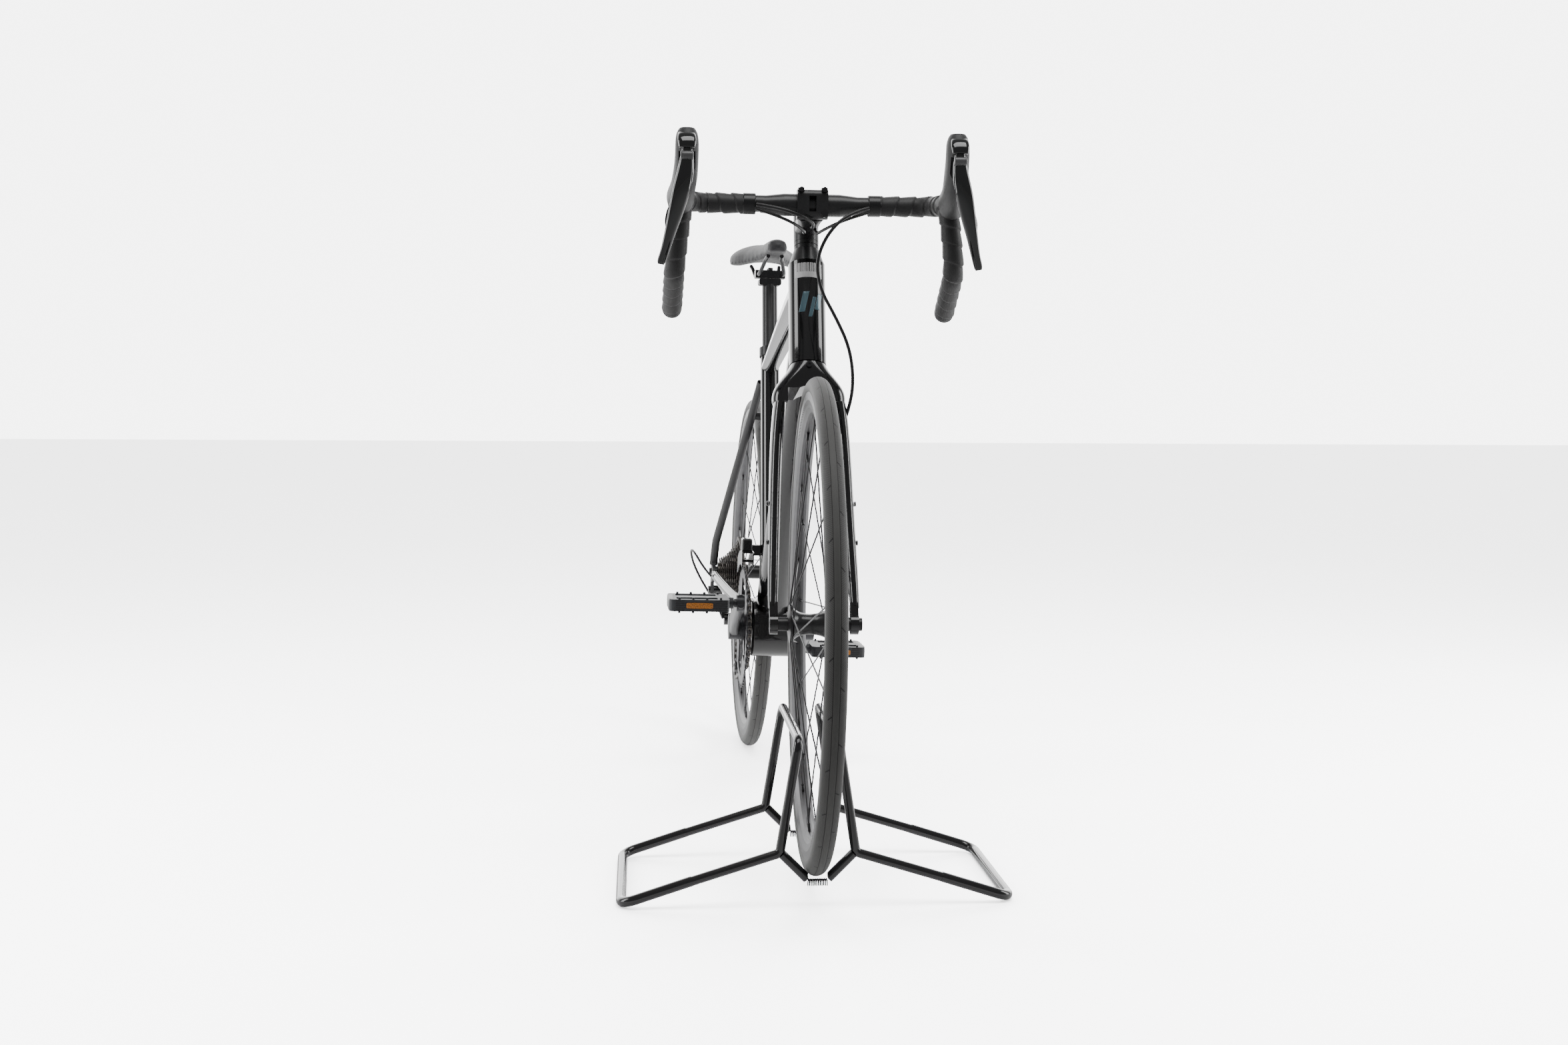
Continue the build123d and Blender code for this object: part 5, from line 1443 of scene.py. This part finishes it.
@dataclass
class PedalTrim:
    """Pale end cap with a dark window, a painted shade standing for the recess in the cap, and ribs along the
    pedal's edges.

    Attributes:
        side: which pedal.
        centre: (depth, height) of the pedal axle in the drawing, in metres.
    """

    side: Side
    centre: tuple[float, float]

    def block(self, name: str, low: tuple, high: tuple, material: bpy.types.Material) -> None:
        """A box with softened corners, in drawing metres relative to the pedal's axle.

        Args:
            name: piece name.
            low: lowest corner.
            high: highest corner.
            material: its material.
        """
        low, high = np.array(low), np.array(high)
        mid, half = (low + high) / 2, (high - low) / 2
        a = np.linspace(0, 2 * math.pi, 32, endpoint=False)
        ca, sa = np.cos(a), np.sin(a)
        oy = np.sign(ca) * np.abs(ca) ** 0.3
        oz = np.sign(sa) * np.abs(sa) ** 0.3
        rows = []
        for along, grow in ((-1.0, 0.9), (-0.85, 1.0), (0.85, 1.0), (1.0, 0.9)):
            rows.append(np.stack([0 * a + mid[0] + along * half[0], mid[1] + grow * half[1] * oy,
                                  mid[2] + grow * half[2] * oz], 1))
        points = np.stack(rows)
        points[..., 0] *= self.side.value
        points[..., 1] += self.centre[0]
        points[..., 2] += self.centre[1]
        piece = grid_mesh(name, SETTING.carry(points, False), False, True, cap_u=True)
        dress(piece, material, "pedal_" + self.side.name.lower())

    def build(self, pale: bpy.types.Material, dark: bpy.types.Material) -> None:
        """Make the cap, its window of painted recess shade and the ribs.

        Args:
            pale: material of the cap.
            dark: material of the ribs, and of the window, where it is painted shade.
        """
        tag = self.side.name.lower()
        self.block("pedal_cap_" + tag, (0.1755, -0.0400, -0.0100), (0.1848, 0.0400, 0.0100), pale)
        for facing in (-1, 1):
            # painted shade: a thin dark block on the cap's front and back face stands in for the shade inside
            # the cap's recess
            near, far = sorted((facing * 0.0396, facing * 0.0408))
            self.block(f"pedal_window_{tag}_{'front' if facing < 0 else 'back'}",
                       (0.1775, near, -0.0062), (0.1830, far, 0.0062), dark)
            for k in range(5):
                z = -0.0072 + 0.0036 * k
                near, far = sorted((facing * 0.0440, facing * 0.0466))
                for zone, (start, end) in enumerate(((0.0905, 0.1125), (0.1595, 0.1745))):
                    self.block(f"pedal_rib_{tag}_{'f' if facing < 0 else 'b'}_{zone}_{k}",
                               (start, near, z - 0.0008), (end, far, z + 0.0008), dark)


# ------------------------------------------------------------------ labels and reflectors


@dataclass
class HeadLabel:
    """Thin patch wrapped on the front of the head tube.

    Attributes:
        name: piece name.
        low: distance up the head tube of its lower edge.
        high: distance of its upper edge.
        start: first angle round the tube, 0 straight ahead, in degrees.
        end: last angle.
        skew: how far the top edge is turned on from the lower edge, in degrees.
        radius: radius over the patch, which starts 0.55 mm inside it.
    """

    name: str
    low: float
    high: float
    start: float
    end: float
    skew: float = 0.0
    radius: float = 0.02735

    def build(self, material: bpy.types.Material) -> bpy.types.Object:
        """Make the patch: radius times (sine, cosine) of the angle, at each height, with its edges
        turned in to the tube.

        Args:
            material: the patch's finish.

        Returns:
            The patch.
        """
        s = np.linspace(self.low, self.high, 14)
        a = np.radians(np.linspace(self.start, self.end, 30))
        ss, aa = np.meshgrid(s, a, indexing="ij")
        aa = aa + math.radians(self.skew) * (ss - self.low) / (self.high - self.low)
        angle = SETTING.head_angle
        up = np.array([0, math.cos(angle), math.sin(angle)])
        front = np.array([0, -math.sin(angle), math.cos(angle)])
        left = np.array([1.0, 0, 0])
        edge = np.ones_like(ss)
        edge[0] = edge[-1] = 0
        edge[:, 0] = edge[:, -1] = 0
        radius = self.radius - 0.0003 * (1 - edge)
        points = (np.array(SETTING.head_low) + ss[..., None] * up
                  + radius[..., None] * (np.sin(aa)[..., None] * left + np.cos(aa)[..., None] * front))
        inner = points - (self.radius - 0.0268) * (
            np.sin(aa)[..., None] * left + np.cos(aa)[..., None] * front)
        sheet = np.concatenate([points, inner[::-1]], 0)
        both_a, both_s = (np.concatenate([side, side[::-1]]) for side in (aa, ss))
        uv = np.stack([both_a / aa.max(), both_s], -1)
        obj = grid_mesh(self.name, SETTING.carry(sheet, False), True, False, uv)
        dress(obj, material, "frame")
        return obj


def label_material() -> bpy.types.Material:
    """White paper label with a plain row of dark bars of uneven width and no lettering."""
    made = Nodes("white label")
    round_, up, _ = made.axes(made.uv())
    noise = made.new("ShaderNodeTexNoise")
    noise.noise_dimensions = "1D"
    noise.inputs["Scale"].default_value = 24.0
    noise.inputs["Detail"].default_value = 4.0
    made.link(round_, noise.inputs["W"])
    bars = made.math("GREATER_THAN", noise.outputs["Fac"], 0.52)
    high = made.math("GREATER_THAN", up, 0.1385)
    mid = made.math("LESS_THAN", made.math("ABSOLUTE", round_), 0.82)
    mask = made.math("MULTIPLY", made.math("MULTIPLY", bars, high), mid)
    made.link(made.blend_colour(mask, (0.8, 0.8, 0.8), (0.03, 0.03, 0.03)), made.bsdf.inputs["Base Color"])
    made.bsdf.inputs["Roughness"].default_value = 0.5
    made.bump(made.noise(made.place(), 1500.0, 2.0), 0.05, 0.0001)
    return made.material


@dataclass
class Reflector:
    """Amber reflector set in a pedal's edge.

    Attributes:
        side: which pedal.
        centre: (depth, height) of the pedal axle in the drawing, in metres.
        facing: -1 for the front edge and 1 for the back edge.
    """

    side: Side
    centre: tuple[float, float]
    facing: int

    def build(self, material: bpy.types.Material) -> bpy.types.Object:
        """Make a rounded plate: a rounded-rectangle outline stacked in three steps.

        Args:
            material: the amber plastic.

        Returns:
            The reflector.
        """
        a = np.linspace(0, 2 * math.pi, 40, endpoint=False)
        ca, sa = np.cos(a), np.sin(a)
        ox = np.sign(ca) * np.abs(ca) ** 0.25
        oz = np.sign(sa) * np.abs(sa) ** 0.25
        rows = []
        for grow, depth in ((1.0, 0.0448), (1.0, 0.0468), (0.96, 0.0472)):
            x = self.side.value * 0.136 + 0.0214 * grow * ox
            y = self.centre[0] + self.facing * depth + 0 * ox
            z = self.centre[1] + 0.0046 * grow * oz
            rows.append(np.stack([x, y, z], -1))
        tag = f"reflector_{self.side.name.lower()}_{'front' if self.facing < 0 else 'back'}"
        obj = grid_mesh(tag, SETTING.carry(np.stack(rows), False), False, True, cap_u=True)
        obj.data.polygons.foreach_set("use_smooth", np.zeros(len(obj.data.polygons), bool))
        dress(obj, material, "pedal_" + self.side.name.lower())
        return obj


# ------------------------------------------------------------------ frame finishes


@dataclass
class Dressing:
    """Which finish each carried-over CAD node takes.

    Attributes:
        frame: the loaded frame.
        plan: each finish with the nodes that take it.
    """

    frame: dict
    plan: tuple = (
        (FRAME_PAINT, ("head_tube", "top_tube", "down_tube", "seat_tube", "bottom_bracket_shell",
                       "chain_stays", "fork_crown", "fork_blades")),
        (STAY_PAINT, ("seat_stays", "rear_dropouts")),
        (BLACK_ALLOY, ("stem", "stem_faceplate", "headset", "seatpost", "front_hub", "rear_hub",
                       "front_axle", "frame_hardware", "handlebar")),
        (GLOSS_ALLOY, ("front_caliper", "rear_caliper", "rear_derailleur_body", "front_derailleur",
                       "fork_bolts", "stem_hardware")),
        (CRANK_ALLOY, ("crank_right", "crank_left")),
        (RING_ALLOY, ("chainrings",)),
        (STEEL, ("front_rotor", "rear_rotor", "rear_derailleur_cage")),
        (CHAIN_STEEL, ("cassette",)),
        (SPOKE_STEEL, ("front_spokes", "rear_spokes")),
        (RAIL_STEEL, ("saddle_rails",)),
        (HOOD_RUBBER, ("lever_hoods",)),
        (LEVER_GLOSS, ("brake_lever_left", "brake_lever_right", "shift_paddle_left",
                       "shift_paddle_right")),
        (PEDAL, ("pedal_right", "pedal_left", "guide_pulley", "tension_pulley")),
        (STAND_PAINT, ("stand_left", "stand_right")),
        (SPRING, ("stand_springs",)),
    )

    def dress(self) -> None:
        """Give every carried-over node its finish, and both rims their dashes."""
        nodes = self.frame["nodes"]
        for finish, names in self.plan:
            material = finish.build().material
            for name in names:
                self.paint(nodes[name], material)
        for name, joint in (("front_rim", "front_wheel_spin"), ("rear_rim", "rear_wheel_spin")):
            made = next(j for j in self.frame["joints"] if j["name"] == joint)
            rim = RimFinish(tuple(made["pos_m"]))
            self.paint(nodes[name], rim.build("grey rim " + name.split("_")[0]))

    @staticmethod
    def paint(obj: bpy.types.Object, material: bpy.types.Material) -> None:
        """Put one material in every slot of a node.

        Args:
            obj: the node.
            material: its material.
        """
        if not obj.material_slots:
            obj.data.materials.append(material)
        for holder in obj.material_slots:
            holder.material = material


# ------------------------------------------------------------------ studio


@dataclass
class Studio:
    """Pale seamless floor, soft light from large panels, and the camera.

    Attributes:
        eye: camera place in the row frame.
        yaw: heading, towards +X from straight back, in radians.
        pitch: how far it looks down.
        roll: how far it is rolled.
        lens: focal length in millimetres.
        sensor: sensor width in millimetres.
        dim: strength of the surroundings on the camera's side.
        bright: their strength behind the bicycle.
        shown: their strength as the camera sees them.
        floor_gain: how many times its own colour the floor shows to the camera.
        floor_painted_light: how many times its own colour it lights with, in front and behind; a painted pool
            of light, darker in front and brighter behind.
        floor_reach: half the floor's width, in metres.
        power: watts of each panel.
    """

    eye: tuple[float, float, float] = (-0.2851, -2.77867, 0.6576)
    yaw: float = math.radians(6.147)
    pitch: float = math.radians(3.872)
    roll: float = math.radians(0.357)
    lens: float = 38.74
    sensor: float = 36.0
    dim: float = 0.2
    bright: float = 3.6
    shown: float = 6.0
    floor_gain: float = 7.5
    floor_painted_light: tuple[float, float] = (0.45, 1.9)
    floor_reach: float = 30.0
    power: float = 45.0

    def camera(self) -> None:
        """Place the camera: forward is (sin yaw cos pitch, cos yaw cos pitch, -sin pitch)."""
        level = math.cos(self.pitch)
        way = Vector((math.sin(self.yaw) * level, math.cos(self.yaw) * level, -math.sin(self.pitch)))
        right = Vector((math.cos(self.yaw), -math.sin(self.yaw), 0))
        up = right.cross(way)
        c, s = math.cos(self.roll), math.sin(self.roll)
        right, up = c * right + s * up, -s * right + c * up
        data = bpy.data.cameras.new("camera")
        data.sensor_width = self.sensor
        data.lens = self.lens
        data.clip_end = 60.0
        obj = bpy.data.objects.new("camera", data)
        turn = Matrix((right, up, -way)).transposed().to_4x4()
        obj.matrix_world = Matrix.Translation(self.eye) @ turn
        bpy.context.collection.objects.link(obj)
        bpy.context.scene.camera = obj

    def floor(self) -> None:
        """A large pale floor. The camera sees it brighter than it lights the bicycle, and the light it throws
        on the bicycle is painted into its colour, darker in front and brighter behind.
        """
        mesh = bpy.data.meshes.new("floor")
        r = self.floor_reach
        mesh.from_pydata([(-r, -r, 0), (r, -r, 0), (r, r, 0), (-r, r, 0)], [], [(0, 1, 2, 3)])
        obj = bpy.data.objects.new("floor", mesh)
        bpy.context.collection.objects.link(obj)
        made = Nodes("pale floor")
        seen = made.new("ShaderNodeLightPath").outputs["Is Camera Ray"]
        cloud = made.noise(made.place(), 1.2, 2.0)
        pale = made.blend_colour(cloud, (0.84, 0.84, 0.845), (0.88, 0.88, 0.88))
        _, depth, _ = made.axes(made.place())
        # painted light: for rays other than the camera's, the floor's colour goes from 0.45 times in front to
        # 1.9 times behind, a painted pool of light that lights the bicycle more from behind
        painted_floor_light = made.scaled(made.step(depth, -1.6, 1.2), *self.floor_painted_light)
        gain = made.math("ADD", made.math("MULTIPLY", seen, self.floor_gain),
                         made.math("MULTIPLY", made.math("SUBTRACT", 1.0, seen), painted_floor_light))
        scale = made.new("ShaderNodeVectorMath")
        scale.operation = "SCALE"
        made.link(pale, scale.inputs[0])
        made.link(gain, scale.inputs["Scale"])
        matte = made.new("ShaderNodeBsdfDiffuse")
        made.link(scale.outputs[0], matte.inputs["Color"])
        end = next(n for n in made.tree.nodes if n.type == "OUTPUT_MATERIAL")
        made.link(matte.outputs[0], end.inputs["Surface"])
        mesh.materials.append(made.material)

    def panel(self, name: str, place: tuple, target: tuple, size: tuple) -> None:
        """A large soft light panel looking at a target.

        Args:
            name: light name.
            place: where it hangs.
            target: point it faces.
            size: width and height in metres.
        """
        data = bpy.data.lights.new(name, "AREA")
        data.shape = "RECTANGLE"
        data.size, data.size_y = size
        data.energy = self.power
        obj = bpy.data.objects.new(name, data)
        obj.location = place
        obj.rotation_euler = (Vector(target) - Vector(place)).to_track_quat("-Z", "Y").to_euler()
        bpy.context.collection.objects.link(obj)

    def world(self) -> None:
        """White surroundings, bright behind the bicycle and dim on the camera's side, which the
        camera itself sees evenly bright."""
        world = bpy.data.worlds.new("white studio")
        bpy.context.scene.world = world
        world.use_nodes = True
        tree = world.node_tree
        back = tree.nodes["Background"]
        where = tree.nodes.new("ShaderNodeTexCoord")
        parts = tree.nodes.new("ShaderNodeSeparateXYZ")
        tree.links.new(where.outputs["Generated"], parts.inputs[0])
        fade = tree.nodes.new("ShaderNodeMapRange")
        fade.interpolation_type = "SMOOTHSTEP"
        fade.inputs["From Min"].default_value = 0.35
        fade.inputs["From Max"].default_value = 0.95
        fade.inputs["To Min"].default_value = self.dim
        fade.inputs["To Max"].default_value = self.bright
        tree.links.new(parts.outputs[1], fade.inputs["Value"])
        ray = tree.nodes.new("ShaderNodeLightPath")
        pick = tree.nodes.new("ShaderNodeMix")
        tree.links.new(ray.outputs["Is Camera Ray"], pick.inputs[0])
        tree.links.new(fade.outputs["Result"], pick.inputs[2])
        pick.inputs[3].default_value = self.shown
        back.inputs["Color"].default_value = (1.0, 1.0, 1.0, 1.0)
        tree.links.new(pick.outputs[0], back.inputs["Strength"])

    def build(self) -> None:
        """Build the whole studio."""
        self.world()
        self.floor()
        self.panel("key", (0.2, -1.2, 3.2), (0, 0, 0.4), (2.4, 1.6))
        self.panel("left", (-3.2, -0.4, 1.4), (0, 0, 0.5), (1.2, 2.6))
        self.panel("right", (3.2, -0.4, 1.4), (0, 0, 0.5), (1.2, 2.6))
        self.camera()


# ------------------------------------------------------------------ all of it


def main() -> None:
    """Build the looks in order and report each piece."""
    logging.basicConfig(level=logging.INFO, format="%(message)s")
    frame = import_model()
    Dressing(frame).dress()
    rubber = TyreFinish().build()
    front = (0.0, 0.0, 0.363)
    Tyre("front_tyre", "front_wheel", front, True).build(rubber)
    Tyre("rear_tyre", "rear_wheel", (0.0, 1.001, 0.338), False).build(rubber)
    tape = TapeFinish().build()
    band = Finish("finishing band", (0.01, 0.01, 0.011), 0.3, scale=900.0,
                  depth=0.1).build().material
    plug = Finish("end plug", (0.02, 0.02, 0.021), 0.45, scale=900.0, depth=0.2).build().material
    wraps = []
    for side in Side:
        wraps += BarTape(side).build(tape, band, plug)
    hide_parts("bar_tape")
    Saddle().build(SaddleFinish().build())
    jacket = HOSE.build().material
    for cord in CORDS:
        cord.build(jacket)
    Chain().build(CHAIN_STEEL.build().material)
    badge = BADGE.build().material
    HeadLabel("head_badge_left", 0.074, 0.108, -34.0, -14.0, 16.0).build(badge)
    HeadLabel("head_badge_middle", 0.066, 0.100, -4.0, 8.0, 16.0).build(badge)
    HeadLabel("head_badge_right", 0.078, 0.106, 16.0, 34.0, 14.0).build(badge)
    HeadLabel("head_label", 0.1285, 0.1535, -48.0, 48.0).build(label_material())
    amber = ReflectorFinish().build()
    angle, reach = math.radians(20.0), 0.1725
    offset = np.array([-reach * math.cos(angle), reach * math.sin(angle)])
    middle = np.array([0.592, 0.282])
    pedals = ((Side.RIGHT, middle + offset), (Side.LEFT, middle - offset))
    for side, centre in pedals:
        for facing in (-1, 1):
            Reflector(side, tuple(centre), facing).build(amber)
    drum = Finish("grey drum", (0.09, 0.09, 0.092), 0.35, coat=0.4, coat_rough=0.2,
                  scale=900.0).build().material
    gloss = Finish("gloss blade", (0.004, 0.004, 0.0045), 0.1, coat=1.0, coat_rough=0.02, scale=900.0,
                   depth=0.02).build().material
    for side in Side:
        BrakeLever(side).build(gloss, drum)
    shell = Finish("satin hub", (0.014, 0.014, 0.015), 0.3, coat=0.5, coat_rough=0.12, scale=900.0,
                   depth=0.03).build().material
    HubShell("front_hub", "front_wheel", front, True, FRONT_HUB).build(shell)
    pale = Finish("pale pedal cap", (0.20, 0.20, 0.205), 0.4, scale=1500.0).build().material
    # dark material for the ribs and for the windows' painted recess shade
    dark = Finish("dark pedal rib", (0.02, 0.02, 0.022), 0.45, scale=1500.0).build().material
    for side, centre in pedals:
        PedalTrim(side, tuple(centre)).build(pale, dark)
    Studio().build()


if __name__ == "__main__":
    main()
